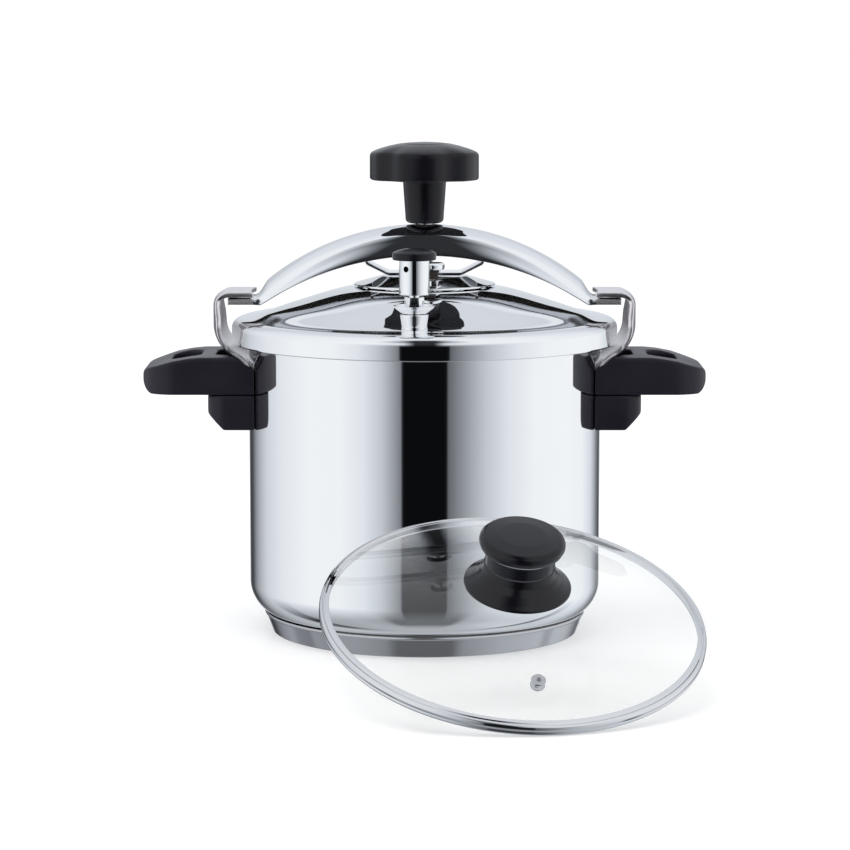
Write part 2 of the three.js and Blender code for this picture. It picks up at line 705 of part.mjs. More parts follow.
function handleInsert() {
  const low = GRIP_BOTTOM + GAP;
  return onBolt(tube(HANDLE_BOLT_RADIUS + GAP, HANDLE_INSERT_RADIUS, low, low + HANDLE_INSERT_HEIGHT));
}

// ---------------------------------------------------------------- crossbar
const TONGUE_TOP = HOOK_TOP - HOOK_SHEET - GAP;
const TONGUE_BOTTOM = TONGUE_TOP - TONGUE_HEIGHT;
const TONGUE_START = HOOK_TIP - HOOK_TIP_CLEARANCE;
const TONGUE_END = TONGUE_START + TONGUE_LENGTH;
const NOSE_START = TONGUE_START - NOSE_LENGTH;

const BAR_TOP_ARC = (TONGUE_START ** 2 + BAR_TOP_ARCH ** 2) / (2 * BAR_TOP_ARCH);
const BAR_EDGE_ARC = (TONGUE_START ** 2 + BAR_EDGE_ARCH ** 2) / (2 * BAR_EDGE_ARCH);

function drop(radius, x) {
  return radius - Math.sqrt(radius * radius - x * x);
}

// 0 before the nose, 1 on the tongue, with a smooth step between them.
function tongueShare(x) {
  return THREE.MathUtils.smoothstep(Math.abs(x), NOSE_START, TONGUE_START);
}

function barTop(x) {
  const arched = BAR_TOP - drop(BAR_TOP_ARC, Math.min(Math.abs(x), TONGUE_START));
  return THREE.MathUtils.lerp(arched, TONGUE_TOP, tongueShare(x));
}

function barEdge(x) {
  return Math.max(TONGUE_BOTTOM, BAR_EDGE - drop(BAR_EDGE_ARC, x));
}

// Half of a section, from the middle of the crown to the foot of the flange, which bellies out.
function barHalfSection(x, inset) {
  const share = tongueShare(x);
  const { lerp } = THREE.MathUtils;
  const crown = BAR_CROWN * (1 - 0.85 * share);
  const shoulder = lerp(BAR_SHOULDER, BAR_HALF_WIDTH - BAR_SHEET / 2, share) - inset;
  const half = BAR_HALF_WIDTH - inset;
  const top = barTop(x) - inset;
  const crease = top - crown;
  const edge = barEdge(x);
  return [
    [0, top],
    [shoulder * 0.45, top - crown * 0.2],
    [shoulder * 0.8, top - crown * 0.64],
    [shoulder, crease],
    [lerp(shoulder, half, 0.55), lerp(crease, edge, 0.3)],
    [lerp(shoulder, half, 0.9), lerp(crease, edge, 0.65)],
    [half, edge],
  ];
}

function barRing(x) {
  const mirrored = (points) => points.slice(1).map(([y, z]) => [-y, z]);
  const outer = barHalfSection(x, 0);
  const inner = barHalfSection(x, BAR_SHEET);
  const section = [
    ...outer.toReversed(),
    ...mirrored(outer),
    ...mirrored(inner).reverse(),
    ...inner,
  ];
  return section.map(([y, z]) => new THREE.Vector3(x, y, z));
}

function bar() {
  const half = [0, 0.18, 0.34, 0.49, 0.63, 0.76, 0.88, 1].map((share) => NOSE_START * share);
  const nose = [0.33, 0.67, 1].map((share) => NOSE_START + share * NOSE_LENGTH);
  const right = [...half, ...nose, TONGUE_END];
  const stations = [...right.slice(1).reverse().map((x) => -x), ...right];
  const hole = rod(BUSH_RADIUS + GAP, BAR_EDGE, BAR_TOP * 1.1);
  return cut(lofted(stations.map(barRing)), hole);
}

function spindleBush() {
  const bore = SPINDLE_RADIUS + GAP;
  const flangeTop = BAR_TOP - BAR_SHEET - drop(BAR_TOP_ARC, BUSH_FLANGE) - BAR_CROWN * 0.85 - GAP;
  const flangeBottom = flangeTop - BUSH_FLANGE_HEIGHT;
  return turnedRing([
    [bore, flangeBottom - BUSH_LENGTH],
    [BUSH_RADIUS, flangeBottom - BUSH_LENGTH],
    [BUSH_RADIUS, flangeBottom],
    [BUSH_FLANGE, flangeBottom],
    [BUSH_FLANGE, flangeTop],
    [BUSH_RADIUS, flangeTop],
    [BUSH_RADIUS, BAR_TOP - GAP],
    [bore, BAR_TOP - GAP],
  ]);
}

// ---------------------------------------------------------------- lid
const SHOULDER_CENTRE = SKIRT_RADIUS - SHOULDER_CORNER;
const DOME_FOOT = [SHOULDER_CENTRE + SHOULDER_CORNER * 0.34, SHOULDER_HEIGHT + SHOULDER_CORNER * 0.94];
const DOME = new THREE.SplineCurve([
  [1, 0],
  [0.972, 0.062],
  [0.922, 0.162],
  [0.871, 0.243],
  [0.685, 0.513],
  [0.498, 0.787],
  [0.366, 0.915],
  [0.187, 0.982],
  [0, 1],
].map(([radius, height]) => new THREE.Vector2(
  DOME_FOOT[0] * radius,
  THREE.MathUtils.lerp(DOME_FOOT[1], CROWN_HEIGHT, height),
))).getPoints(8);

// Height of the dome's outer face at a radius.
function domeHeight(radius) {
  const next = DOME.findIndex((point) => point.x <= radius);
  const [high, low] = [DOME[Math.max(next, 1) - 1], DOME[Math.max(next, 1)]];
  return THREE.MathUtils.mapLinear(radius, high.x, low.x, high.y, low.y);
}

function lidShell() {
  const shoulder = (radius) => arc(SHOULDER_CENTRE, SHOULDER_HEIGHT, radius, 0, 60, 3);
  const outer = DOME.map((point) => [point.x, point.y]);
  const inner = DOME.map((point) => [Math.min(point.x, SHOULDER_CENTRE), point.y - LID_SHEET]);
  const shell = turned([
    ...inner.reverse(),
    ...shoulder(SHOULDER_CORNER - LID_SHEET).reverse(),
    [SKIRT_RADIUS - LID_SHEET, SKIRT_BOTTOM],
    [SKIRT_RADIUS, SKIRT_BOTTOM],
    ...shoulder(SHOULDER_CORNER),
    ...outer,
  ]);
  return cut(
    shell,
    rod(VALVE_HOLE, SKIRT_BOTTOM, BAR_TOP, 16).translate(VALVE_X, VALVE_Y, 0),
    rod(SAFETY_HOLE, SKIRT_BOTTOM, BAR_TOP, 16).translate(SAFETY_X, SAFETY_Y, 0),
  );
}

// The space under the dome's outer face, and the space above its inner one, for pieces seated on them.
function underDome() {
  const outline = DOME.map((point) => [point.x, point.y + GAP]);
  return turned([[0, SKIRT_BOTTOM], [DOME[0].x, SKIRT_BOTTOM], ...outline]);
}

function overDome() {
  const outline = DOME.map((point) => [point.x, point.y - LID_SHEET - GAP]);
  return turned([...outline.reverse(), [DOME[0].x, BAR_TOP], [0, BAR_TOP]]);
}

function gasket() {
  const outer = SHOULDER_CENTRE + SHOULDER_CORNER * 0.4;
  const seat = RIM_HEIGHT + GAP;
  const under = (radius) => domeHeight(radius) - LID_SHEET - GAP * 2;
  return turnedRing([
    [GASKET_INNER, seat - GASKET_HEIGHT * 0.4],
    [POT_RADIUS - POT_WALL - 1, seat - GASKET_HEIGHT * 0.4],
    [POT_RADIUS - POT_WALL - 1, seat],
    [outer, seat],
    [outer, SHOULDER_HEIGHT + SHOULDER_CORNER * 0.5],
    [SHOULDER_CENTRE, DOME_FOOT[1] - LID_SHEET - GAP * 2],
    [GASKET_INNER, under(GASKET_INNER)],
  ]);
}

const PLATE_TOP = PLATE_LIP_HEIGHT + PLATE_RISE;

function pressurePlate() {
  const under = PLATE_TOP - PLATE_SHEET;
  const plate = turned([
    [0, under],
    [PLATE_FLAT_RADIUS - PLATE_SHEET * 0.6, under],
    [PLATE_RADIUS - PLATE_SHEET * 1.25, PLATE_LIP_HEIGHT - PLATE_SHEET / 4],
    [PLATE_RADIUS - PLATE_SHEET / 4, PLATE_LIP_HEIGHT - PLATE_SHEET / 4],
    [PLATE_RADIUS, PLATE_LIP_HEIGHT + PLATE_SHEET / 4],
    [PLATE_RADIUS - PLATE_SHEET * 0.9, PLATE_LIP_HEIGHT + PLATE_SHEET * 0.75],
    [PLATE_FLAT_RADIUS * 1.2, PLATE_TOP - PLATE_RISE * 0.2],
    [PLATE_FLAT_RADIUS, PLATE_TOP],
    [0, PLATE_TOP],
  ]);
  const opening = rod(SAFETY_BASE_RADIUS + GAP * 2, SKIRT_BOTTOM, BAR_TOP).translate(SAFETY_X, SAFETY_Y, 0);
  return cut(plate, opening);
}

function saddle() {
  const floor = PLATE_TOP + GAP;
  const kink = SADDLE_SHEET * 0.3;
  const lipTop = floor + SADDLE_RISE + SADDLE_LIP;
  const right = [
    [SADDLE_FLAT, floor],
    [SADDLE_REACH, floor + SADDLE_RISE],
    [SADDLE_REACH, lipTop],
    [SADDLE_REACH - SADDLE_SHEET, lipTop],
    [SADDLE_REACH - SADDLE_SHEET, floor + SADDLE_RISE + SADDLE_SHEET * 0.6],
    [SADDLE_FLAT - kink, floor + SADDLE_SHEET],
  ];
  const left = right.map(([x, z]) => [-x, z]).reverse();
  return cut(slab([...right, ...left], SADDLE_HALF_WIDTH), rod(SADDLE_FOOT_HOLE, PLATE_TOP, BAR_TOP, 16));
}

const FOOT_BOTTOM = PLATE_TOP + GAP;
const FOOT_TOP = FOOT_BOTTOM + FOOT_HEIGHT;

function pressureFoot() {
  const socket = SPINDLE_RADIUS + GAP;
  const socketFloor = FOOT_TOP - FOOT_SOCKET_DEPTH;
  return turned([
    [0, FOOT_BOTTOM],
    [FOOT_RADIUS, FOOT_BOTTOM],
    [FOOT_RADIUS, FOOT_BOTTOM + FOOT_HEIGHT * 0.4],
    [(socket + FOOT_RADIUS) / 2, FOOT_TOP],
    [socket, FOOT_TOP],
    [socket, socketFloor],
    [0, socketFloor],
  ]);
}

// ---------------------------------------------------------------- spindle and knob
const SPINDLE_FOOT = FOOT_TOP - FOOT_SOCKET_DEPTH + GAP;
const INSERT_FROM = KNOB_STEM_BOTTOM + 2.4;
const INSERT_TO = INSERT_FROM + KNOB_INSERT_HEIGHT;
const SPINDLE_HEAD = INSERT_TO - 1;
const KNOB_WELL_FLOOR = KNOB_TOP - KNOB_CAP_SHEET - KNOB_SCREW_WELL_DEPTH;
const KNOB_SCREW_RADIUS = 2.5;
const KNOB_SCREW_LENGTH = 9;

function spindle() {
  const screwHole = rod(KNOB_SCREW_RADIUS + GAP, SPINDLE_HEAD - KNOB_SCREW_LENGTH, SPINDLE_HEAD + 5);
  const shaft = turned([
    [0, SPINDLE_FOOT],
    [SPINDLE_RADIUS - 1, SPINDLE_FOOT],
    [SPINDLE_RADIUS, SPINDLE_FOOT + 1],
    [SPINDLE_RADIUS, SPINDLE_HEAD],
    [0, SPINDLE_HEAD],
  ]);
  return cut(shaft, screwHole);
}

// Radius of the knob's plan: five lobes with a shallow scallop between each two.
function knobPlan() {
  const scallop = (2 * Math.PI) / KNOB_LOBES - KNOB_LOBE_ANGLE;
  const points = [];
  for (let lobe = 0; lobe < KNOB_LOBES; lobe += 1) {
    const middle = KNOB_LOBE_TURN + (lobe * 2 * Math.PI) / KNOB_LOBES;
    for (const share of [-0.5, 0, 0.5]) {
      const angle = middle + share * KNOB_LOBE_ANGLE;
      points.push([KNOB_RADIUS * Math.cos(angle), KNOB_RADIUS * Math.sin(angle)]);
    }
    for (const share of [0.25, 0.5, 0.75]) {
      const angle = middle + KNOB_LOBE_ANGLE / 2 + share * scallop;
      const radius = KNOB_RADIUS - KNOB_SCALLOP_DEPTH * Math.sin(share * Math.PI);
      points.push([radius * Math.cos(angle), radius * Math.sin(angle)]);
    }
  }
  return shapeOf(points);
}

function knob() {
  const rise = KNOB_TOP - KNOB_DISC_EDGE;
  const domeRadius = (KNOB_RADIUS ** 2 + rise ** 2) / (2 * rise);
  const domeHalfAngle = THREE.MathUtils.radToDeg(Math.asin(KNOB_RADIUS / domeRadius));
  const dome = arc(0, KNOB_TOP - domeRadius, domeRadius, 90 - domeHalfAngle, 90, 3);
  const disc = common(
    prism(knobPlan(), KNOB_DISC_BOTTOM, KNOB_TOP + 1),
    turned([
      [0, KNOB_DISC_BOTTOM],
      [KNOB_RADIUS - KNOB_EDGE_BEVEL, KNOB_DISC_BOTTOM],
      [KNOB_RADIUS, KNOB_DISC_BOTTOM + KNOB_EDGE_BEVEL],
      [KNOB_RADIUS, KNOB_DISC_EDGE - 0.5],
      ...dome,
    ]),
  );
  const stem = turned([
    [0, KNOB_STEM_BOTTOM],
    [KNOB_STEM_FOOT_RADIUS - 3, KNOB_STEM_BOTTOM],
    [KNOB_STEM_FOOT_RADIUS - 0.8, KNOB_STEM_BOTTOM + 1],
    [KNOB_STEM_FOOT_RADIUS, KNOB_STEM_BOTTOM + 3.4],
    [KNOB_STEM_HEAD_RADIUS, KNOB_DISC_BOTTOM],
    [KNOB_STEM_HEAD_RADIUS, KNOB_DISC_BOTTOM + 2],
    [0, KNOB_DISC_BOTTOM + 2],
  ], MIDDLE_ROUND);
  return cut(
    joined(disc, stem),
    rod(SPINDLE_RADIUS + GAP * 2, KNOB_STEM_BOTTOM - 1, INSERT_FROM),
    rod(KNOB_INSERT_RADIUS + GAP, INSERT_FROM - GAP, INSERT_TO + GAP),
    rod(KNOB_SCREW_RADIUS + GAP, INSERT_TO, KNOB_TOP),
    rod(KNOB_SCREW_WELL_RADIUS, KNOB_WELL_FLOOR, KNOB_TOP + 1),
    rod(KNOB_CAP_RADIUS + GAP, KNOB_TOP - KNOB_CAP_SHEET - GAP * 2, KNOB_TOP + 1, MIDDLE_ROUND),
  );
}

function knobInsert() {
  return tube(SPINDLE_RADIUS + GAP, KNOB_INSERT_RADIUS, INSERT_FROM, INSERT_TO);
}

function knobScrew() {
  const seat = KNOB_WELL_FLOOR + GAP;
  return turned([
    [0, SPINDLE_HEAD - KNOB_SCREW_LENGTH + 1],
    [KNOB_SCREW_RADIUS, SPINDLE_HEAD - KNOB_SCREW_LENGTH + 1],
    [KNOB_SCREW_RADIUS, seat],
    [KNOB_SCREW_HEAD, seat],
    [KNOB_SCREW_HEAD, seat + KNOB_SCREW_HEAD_HEIGHT],
    [0, seat + KNOB_SCREW_HEAD_HEIGHT],
  ]);
}

function knobCap() {
  const low = KNOB_TOP - KNOB_CAP_SHEET - GAP;
  return turned([
    [0, low],
    [KNOB_CAP_RADIUS, low],
    [KNOB_CAP_RADIUS, KNOB_TOP - 1.1],
    [KNOB_CAP_RADIUS * 0.6, KNOB_TOP - 0.3],
    [0, KNOB_TOP],
  ], MIDDLE_ROUND);
}

// ---------------------------------------------------------------- regulator valve
const CUP_BOTTOM = COLLAR_TOP + GAP;
const CUP_RIM = CUP_BOTTOM + CUP_HEIGHT;
const HEX_FROM = CUP_BOTTOM + CUP_SHEET + GAP;
const HEX_TO = HEX_FROM + NIPPLE_HEX_HEIGHT;
const NIPPLE_TOP = HEX_TO + NIPPLE_CONE_HEIGHT;
const VALVE_DOME = domeHeight(Math.hypot(VALVE_X, VALVE_Y));
const NIPPLE_FOOT = VALVE_DOME - LID_SHEET - NUT_HEIGHT - NIPPLE_THREAD;
const NEEDLE_SEAT = NIPPLE_TOP + GAP;
const STEAM_HOLE_HEIGHT = WEIGHT_TOP - STEAM_HOLE_DROP;
const WEIGHT_BORE_TOP = STEAM_HOLE_HEIGHT + STEAM_HOLE_RADIUS * 1.5;

function onValve(geometry) {
  return geometry.translate(VALVE_X, VALVE_Y, 0);
}

function valveCollar() {
  const outline = [
    [NIPPLE_RADIUS + GAP, VALVE_DOME - 6],
    [COLLAR_FOOT_RADIUS, VALVE_DOME - 6],
    [COLLAR_FOOT_RADIUS, VALVE_DOME],
    [COLLAR_TOP_RADIUS, COLLAR_TOP],
    [NIPPLE_RADIUS + GAP, COLLAR_TOP],
  ];
  return cut(onValve(turnedRing(outline, MIDDLE_ROUND)), underDome());
}

function valveCup() {
  const bore = NIPPLE_RADIUS + GAP;
  return onValve(turnedRing([
    [bore, CUP_BOTTOM],
    [CUP_FOOT_RADIUS, CUP_BOTTOM],
    [CUP_RADIUS - 1.5, CUP_RIM - 1.5],
    [CUP_RADIUS, CUP_RIM],
    [CUP_RADIUS - CUP_SHEET, CUP_RIM],
    [CUP_FOOT_RADIUS, CUP_BOTTOM + CUP_SHEET],
    [bore, CUP_BOTTOM + CUP_SHEET],
  ], MIDDLE_ROUND));
}

function valveNipple() {
  const stem = turned([
    [0, NIPPLE_FOOT],
    [NIPPLE_RADIUS, NIPPLE_FOOT],
    [NIPPLE_RADIUS, HEX_FROM + 1],
    [NIPPLE_CONE_RADIUS, HEX_FROM + 1],
    [NIPPLE_CONE_RADIUS, HEX_TO + NIPPLE_CONE_HEIGHT * 0.5],
    [NIPPLE_BORE + 0.8, NIPPLE_TOP],
    [0, NIPPLE_TOP],
  ]);
  const hex = rod(NIPPLE_HEX_RADIUS, HEX_FROM, HEX_TO, 6);
  const bore = rod(NIPPLE_BORE, NIPPLE_FOOT - 1, NIPPLE_TOP + 1, 10);
  return onValve(cut(joined(stem, hex), bore));
}

function insideNut(bore, radius, x, y) {
  const under = domeHeight(Math.hypot(x, y)) - LID_SHEET;
  const blank = rod(radius, under - NUT_HEIGHT, under + 3, 6).translate(x, y, 0);
  const hole = rod(bore, under - NUT_HEIGHT - 1, under + 5).translate(x, y, 0);
  return cut(blank, hole, overDome());
}

function regulatorNeedle() {
  return onValve(turned([
    [0, NEEDLE_SEAT - 6],
    [NEEDLE_RADIUS, NEEDLE_SEAT - 5],
    [NEEDLE_RADIUS, NEEDLE_SEAT],
    [NEEDLE_HEAD_RADIUS - 1, NEEDLE_SEAT],
    [NEEDLE_HEAD_RADIUS - 1, NEEDLE_SEAT + 2],
    [NEEDLE_RADIUS * 1.5, NEEDLE_SEAT + 3],
    [NEEDLE_RADIUS * 1.5, WEIGHT_BORE_TOP - GAP],
    [0, WEIGHT_BORE_TOP - GAP],
  ]));
}

function regulatorWeight() {
  const sleeve = turned([
    [WEIGHT_BORE, WEIGHT_BOTTOM],
    [WEIGHT_RADIUS - 0.6, WEIGHT_BOTTOM],
    [WEIGHT_RADIUS, WEIGHT_BOTTOM + 0.6],
    [WEIGHT_RADIUS, WEIGHT_TOP],
    [0, WEIGHT_TOP],
    [0, WEIGHT_BORE_TOP],
    [WEIGHT_BORE, WEIGHT_BORE_TOP],
    [WEIGHT_BORE, WEIGHT_BOTTOM],
  ], MIDDLE_ROUND);
  const steamHole = rod(STEAM_HOLE_RADIUS, 0, WEIGHT_RADIUS + 2);
  steamHole.rotateX(Math.PI / 2).rotateZ(THREE.MathUtils.degToRad(-33)).translate(0, 0, STEAM_HOLE_HEIGHT);
  return onValve(cut(sleeve, steamHole));
}

function regulatorCap() {
  const well = WEIGHT_RADIUS + GAP;
  const bottom = WEIGHT_TOP - WEIGHT_CAP_SKIRT;
  const edge = bottom + WEIGHT_CAP_EDGE;
  return onValve(turned([
    [0, WEIGHT_TOP + GAP],
    [well, WEIGHT_TOP + GAP],
    [well, bottom],
    [WEIGHT_CAP_RADIUS, bottom],
    [WEIGHT_CAP_RADIUS, edge - WEIGHT_CAP_EDGE * 0.12],
    [WEIGHT_CAP_RADIUS * 0.94, edge],
    [WEIGHT_CAP_RADIUS * 0.6, THREE.MathUtils.lerp(edge, bottom + WEIGHT_CAP_HEIGHT, 0.68)],
    [0, bottom + WEIGHT_CAP_HEIGHT],
  ], MIDDLE_ROUND));
}

// ---------------------------------------------------------------- safety valve
const SAFETY_DOME = domeHeight(Math.hypot(SAFETY_X, SAFETY_Y));
const SAFETY_BASE_TOP = SAFETY_DOME + SAFETY_BASE_HEIGHT;
const SAFETY_SEAL_FROM = SAFETY_BASE_TOP + GAP;
const SAFETY_SEAL_TO = SAFETY_SEAL_FROM + SAFETY_SEAL_HEIGHT;
const SAFETY_HEAD_FROM = SAFETY_SEAL_TO + GAP;
const SAFETY_TOP = SAFETY_HEAD_FROM + SAFETY_HEAD_HEIGHT;
const SAFETY_NUT_BOTTOM = SAFETY_DOME - LID_SHEET - NUT_HEIGHT;
const SPRING_TOP = SAFETY_NUT_BOTTOM - GAP - SPRING_WIRE;
const SPRING_BOTTOM = SPRING_TOP - SPRING_LENGTH;
const SAFETY_FOOT = SPRING_BOTTOM - SPRING_WIRE - GAP;

function onSafety(geometry) {
  return geometry.translate(SAFETY_X, SAFETY_Y, 0);
}

function safetyBase() {
  const blank = onSafety(rod(SAFETY_BASE_RADIUS, SAFETY_DOME - 4, SAFETY_BASE_TOP, 6));
  const hole = onSafety(rod(SAFETY_STEM_RADIUS + GAP, SAFETY_DOME - 6, SAFETY_BASE_TOP + 1));
  return cut(blank, hole, underDome());
}

function safetySeal() {
  const bore = SAFETY_STEM_RADIUS + GAP;
  const waist = (SAFETY_SEAL_FROM + SAFETY_SEAL_TO) / 2;
  return onSafety(turnedRing([
    [bore, SAFETY_SEAL_FROM],
    [SAFETY_SEAL_RADIUS, SAFETY_SEAL_FROM],
    [SAFETY_SEAL_RADIUS, SAFETY_SEAL_FROM + SAFETY_SEAL_HEIGHT * 0.3],
    [SAFETY_SEAL_WAIST, waist],
    [SAFETY_SEAL_WAIST, SAFETY_SEAL_TO],
    [bore, SAFETY_SEAL_TO],
  ]));
}

function safetyPlunger() {
  const flange = SPRING_RADIUS + 1;
  return onSafety(turned([
    [0, SAFETY_FOOT - 1.5],
    [flange, SAFETY_FOOT - 1.5],
    [flange, SAFETY_FOOT],
    [SAFETY_STEM_RADIUS, SAFETY_FOOT],
    [SAFETY_STEM_RADIUS, SAFETY_HEAD_FROM],
    [SAFETY_HEAD_RADIUS, SAFETY_HEAD_FROM],
    [SAFETY_HEAD_RADIUS, SAFETY_TOP - SAFETY_HEAD_HEIGHT * 0.3],
    [SAFETY_HEAD_RADIUS - SAFETY_HEAD_HEIGHT * 0.3, SAFETY_TOP],
    [0, SAFETY_TOP],
  ]));
}

class Helix extends THREE.Curve {
  getPoint(share, target = new THREE.Vector3()) {
    const angle = share * SPRING_TURNS * 2 * Math.PI;
    const height = SPRING_BOTTOM + share * SPRING_LENGTH;
    return target.set(SPRING_RADIUS * Math.cos(angle), SPRING_RADIUS * Math.sin(angle), height);
  }
}

function safetySpring() {
  const wire = new THREE.Shape().absarc(0, 0, SPRING_WIRE, 0, 2 * Math.PI);
  const path = { extrudePath: new Helix(), steps: SPRING_TURNS * 7, curveSegments: 2, bevelEnabled: false };
  return onSafety(new THREE.ExtrudeGeometry(wire, path));
}

// ---------------------------------------------------------------- glass lid
// Built flat on z = 0 and then leaned against the pot with its front edge on the worktop.
const GLASS_EDGE = GLASS_RIM_RADIUS - GLASS_RIM_SHEET - GAP;
const GLASS_EDGE_BOTTOM = (GLASS_RIM_HEIGHT - GLASS_SHEET) / 2;
const GLASS_ARC = (GLASS_EDGE ** 2 + GLASS_RISE ** 2) / (2 * GLASS_RISE);
const GLASS_TOP = GLASS_EDGE_BOTTOM + GLASS_SHEET + GLASS_RISE;

function glassHeight(radius) {
  return GLASS_TOP - drop(GLASS_ARC, radius);
}

function glassDome() {
  const bore = GLASS_SCREW_RADIUS + GAP;
  const steps = 5;
  const radiusAt = (_, i) => THREE.MathUtils.lerp(bore, GLASS_EDGE, i / steps);
  const radii = Array.from({ length: steps + 1 }, radiusAt);
  const top = radii.map((radius) => [radius, glassHeight(radius)]);
  const bottom = radii.map((radius) => [radius, glassHeight(radius) - GLASS_SHEET]);
  return cut(turnedRing([...bottom, ...top.reverse()]), onVent(rod(VENT_BORE + 1 + GAP, -12, 12)));
}

// Puts a piece built about the origin on the middle of the glass where the steam vent is.
function onVent(geometry) {
  const slope = Math.asin(VENT_PLACE / GLASS_ARC);
  const height = glassHeight(VENT_PLACE) - GLASS_SHEET / 2;
  return geometry.rotateY(slope).translate(VENT_PLACE, 0, height).rotateZ(VENT_BEARING);
}

function ventEyelet() {
  const half = GLASS_SHEET / 2 + GAP * 2;
  return onVent(turnedRing([
    [VENT_BORE, -half - 1],
    [VENT_RADIUS, -half - 1],
    [VENT_RADIUS, -half],
    [VENT_BORE + 1, -half],
    [VENT_BORE + 1, half],
    [VENT_RADIUS, half],
    [VENT_RADIUS - 0.6, half + 1],
    [VENT_BORE, half + 1],
  ]));
}

function glassRim() {
  const lip = GLASS_RIM_RADIUS - GLASS_RIM_WIDTH;
  const wall = GLASS_RIM_RADIUS - GLASS_RIM_SHEET;
  const crown = glassHeight(lip) + GAP;
  return turnedRing([
    [lip, 0],
    [GLASS_RIM_RADIUS - GLASS_RIM_EDGE, 0],
    [GLASS_RIM_RADIUS, GLASS_RIM_EDGE],
    [GLASS_RIM_RADIUS, GLASS_RIM_HEIGHT - GLASS_RIM_EDGE],
    [GLASS_RIM_RADIUS - GLASS_RIM_EDGE, GLASS_RIM_HEIGHT],
    [lip, crown + GLASS_RIM_SHEET],
    [lip, crown],
    [wall, GLASS_RIM_HEIGHT - GLASS_RIM_SHEET],
    [wall, GLASS_RIM_SHEET],
    [lip, GLASS_RIM_SHEET],
  ]);
}

const GLASS_KNOB_SPLIT = GLASS_TOP + GAP + GLASS_KNOB_BASE_HEIGHT;
const GLASS_KNOB_TOP = GLASS_KNOB_SPLIT + GAP + GLASS_KNOB_TOP_HEIGHT;

// A flared base with a thin rim on the glass, drawn in to a waist.
function glassKnobBase() {
  const bore = GLASS_SCREW_RADIUS + GAP;
  const seat = (radius) => glassHeight(radius) + GAP;
  const radius = GLASS_KNOB_BASE_RADIUS;
  const neck = GLASS_KNOB_NECK_RADIUS;
  const foot = seat(radius);
  const height = (share) => THREE.MathUtils.lerp(foot, GLASS_KNOB_SPLIT, share);
  const radiusAt = (share) => THREE.MathUtils.lerp(radius, neck, share);
  return turnedRing([
    [bore, seat(bore)],
    [radius * 0.5, seat(radius * 0.5)],
    [radius, foot],
    [radius, height(0.1)],
    [radiusAt(0.3), height(0.24)],
    [radiusAt(0.62), height(0.45)],
    [radiusAt(0.88), height(0.75)],
    [radiusAt(0.94), GLASS_KNOB_SPLIT],
    [bore, GLASS_KNOB_SPLIT],
  ]);
}

// The mushroom top on its waist, with a blind bore for the screw.
function glassKnobTop() {
  const bore = GLASS_SCREW_RADIUS + GAP;
  const radius = GLASS_KNOB_TOP_RADIUS;
  const neck = GLASS_KNOB_NECK_RADIUS;
  const low = GLASS_KNOB_SPLIT + GAP;
  const height = (share) => THREE.MathUtils.lerp(low, GLASS_KNOB_TOP, share);
  const well = height(0.5);
  return turned([
    [0, well],
    [bore, well],
    [bore, low],
    [neck, low],
    [neck, height(0.42)],
    [radius - 1.4, height(0.56)],
    [radius, height(0.66)],
    [radius, height(0.8)],
    [radius * 0.93, height(0.93)],
    [radius * 0.5, height(0.98)],
    [0, GLASS_KNOB_TOP],
  ]);
}

const GLASS_INSIDE = GLASS_TOP - GLASS_SHEET;

function glassWasher() {
  const top = GLASS_INSIDE - drop(GLASS_ARC, GLASS_WASHER_RADIUS) - GAP;
  return tube(GLASS_SCREW_RADIUS + GAP, GLASS_WASHER_RADIUS, top - GLASS_WASHER_SHEET, top);
}

function glassScrew() {
  const seat = GLASS_INSIDE - drop(GLASS_ARC, GLASS_WASHER_RADIUS) - GLASS_WASHER_SHEET - GAP * 2;
  const tip = THREE.MathUtils.lerp(GLASS_KNOB_SPLIT, GLASS_KNOB_TOP, 0.4);
  return turned([
    [0, seat - 3],
    [GLASS_SCREW_HEAD - 2, seat - 3],
    [GLASS_SCREW_HEAD, seat - 1],
    [GLASS_SCREW_HEAD, seat],
    [GLASS_SCREW_RADIUS, seat],
    [GLASS_SCREW_RADIUS, tip],
    [0, tip],
  ]);
}

// The rim stands on its lower front edge and its lower back edge touches the pot.
function leaningGroup() {
  const group = new THREE.Group();
  const reach = GLASS_RIM_RADIUS * Math.cos(GLASS_TILT) - GLASS_RIM_EDGE * Math.sin(GLASS_TILT);
  const distance = POT_RADIUS + GAP + reach;
  const lift = (GLASS_RIM_RADIUS - GLASS_RIM_EDGE) * Math.sin(GLASS_TILT);
  group.position.set(distance * Math.sin(GLASS_BEARING), -distance * Math.cos(GLASS_BEARING), lift);
  group.rotation.set(GLASS_TILT, 0, GLASS_BEARING, 'ZYX');
  return group;
}

// ---------------------------------------------------------------- the pot and what is fixed to it
add('pot_body', cut(potBody(), ...rivetHoles(GAP), ...rivetHoles(GAP).map(leftCopy)), 'steel');
add('base_core', baseCore(), 'aluminium');
add('base_cap', baseCap(), 'satinSteel');

const SIDE_PIECES = [
  ['hook', hook(), 'steel'],
  ...RIVET_PLACES.map((place, i) => [`hook_rivet_${i + 1}`, hookRivet(...place), 'steel']),
  ['handle_grip', handleGrip(), 'phenolic'],
  ['handle_heel', handleHeel(), 'phenolic'],
  ['handle_bracket', handleBracket(), 'steel'],
  ['handle_bolt', handleBolt(), 'steel'],
  ['handle_washer', handleWasher(), 'steel'],
  ['handle_insert', handleInsert(), 'brass'],
];
for (const [name, geometry, look] of SIDE_PIECES) {
  add(`${name}_right`, geometry, look);
  add(`${name}_left`, leftCopy(geometry), look);
}

// ---------------------------------------------------------------- the crossbar
add('crossbar', bar(), 'steel');
add('spindle_bush', spindleBush(), 'brass');

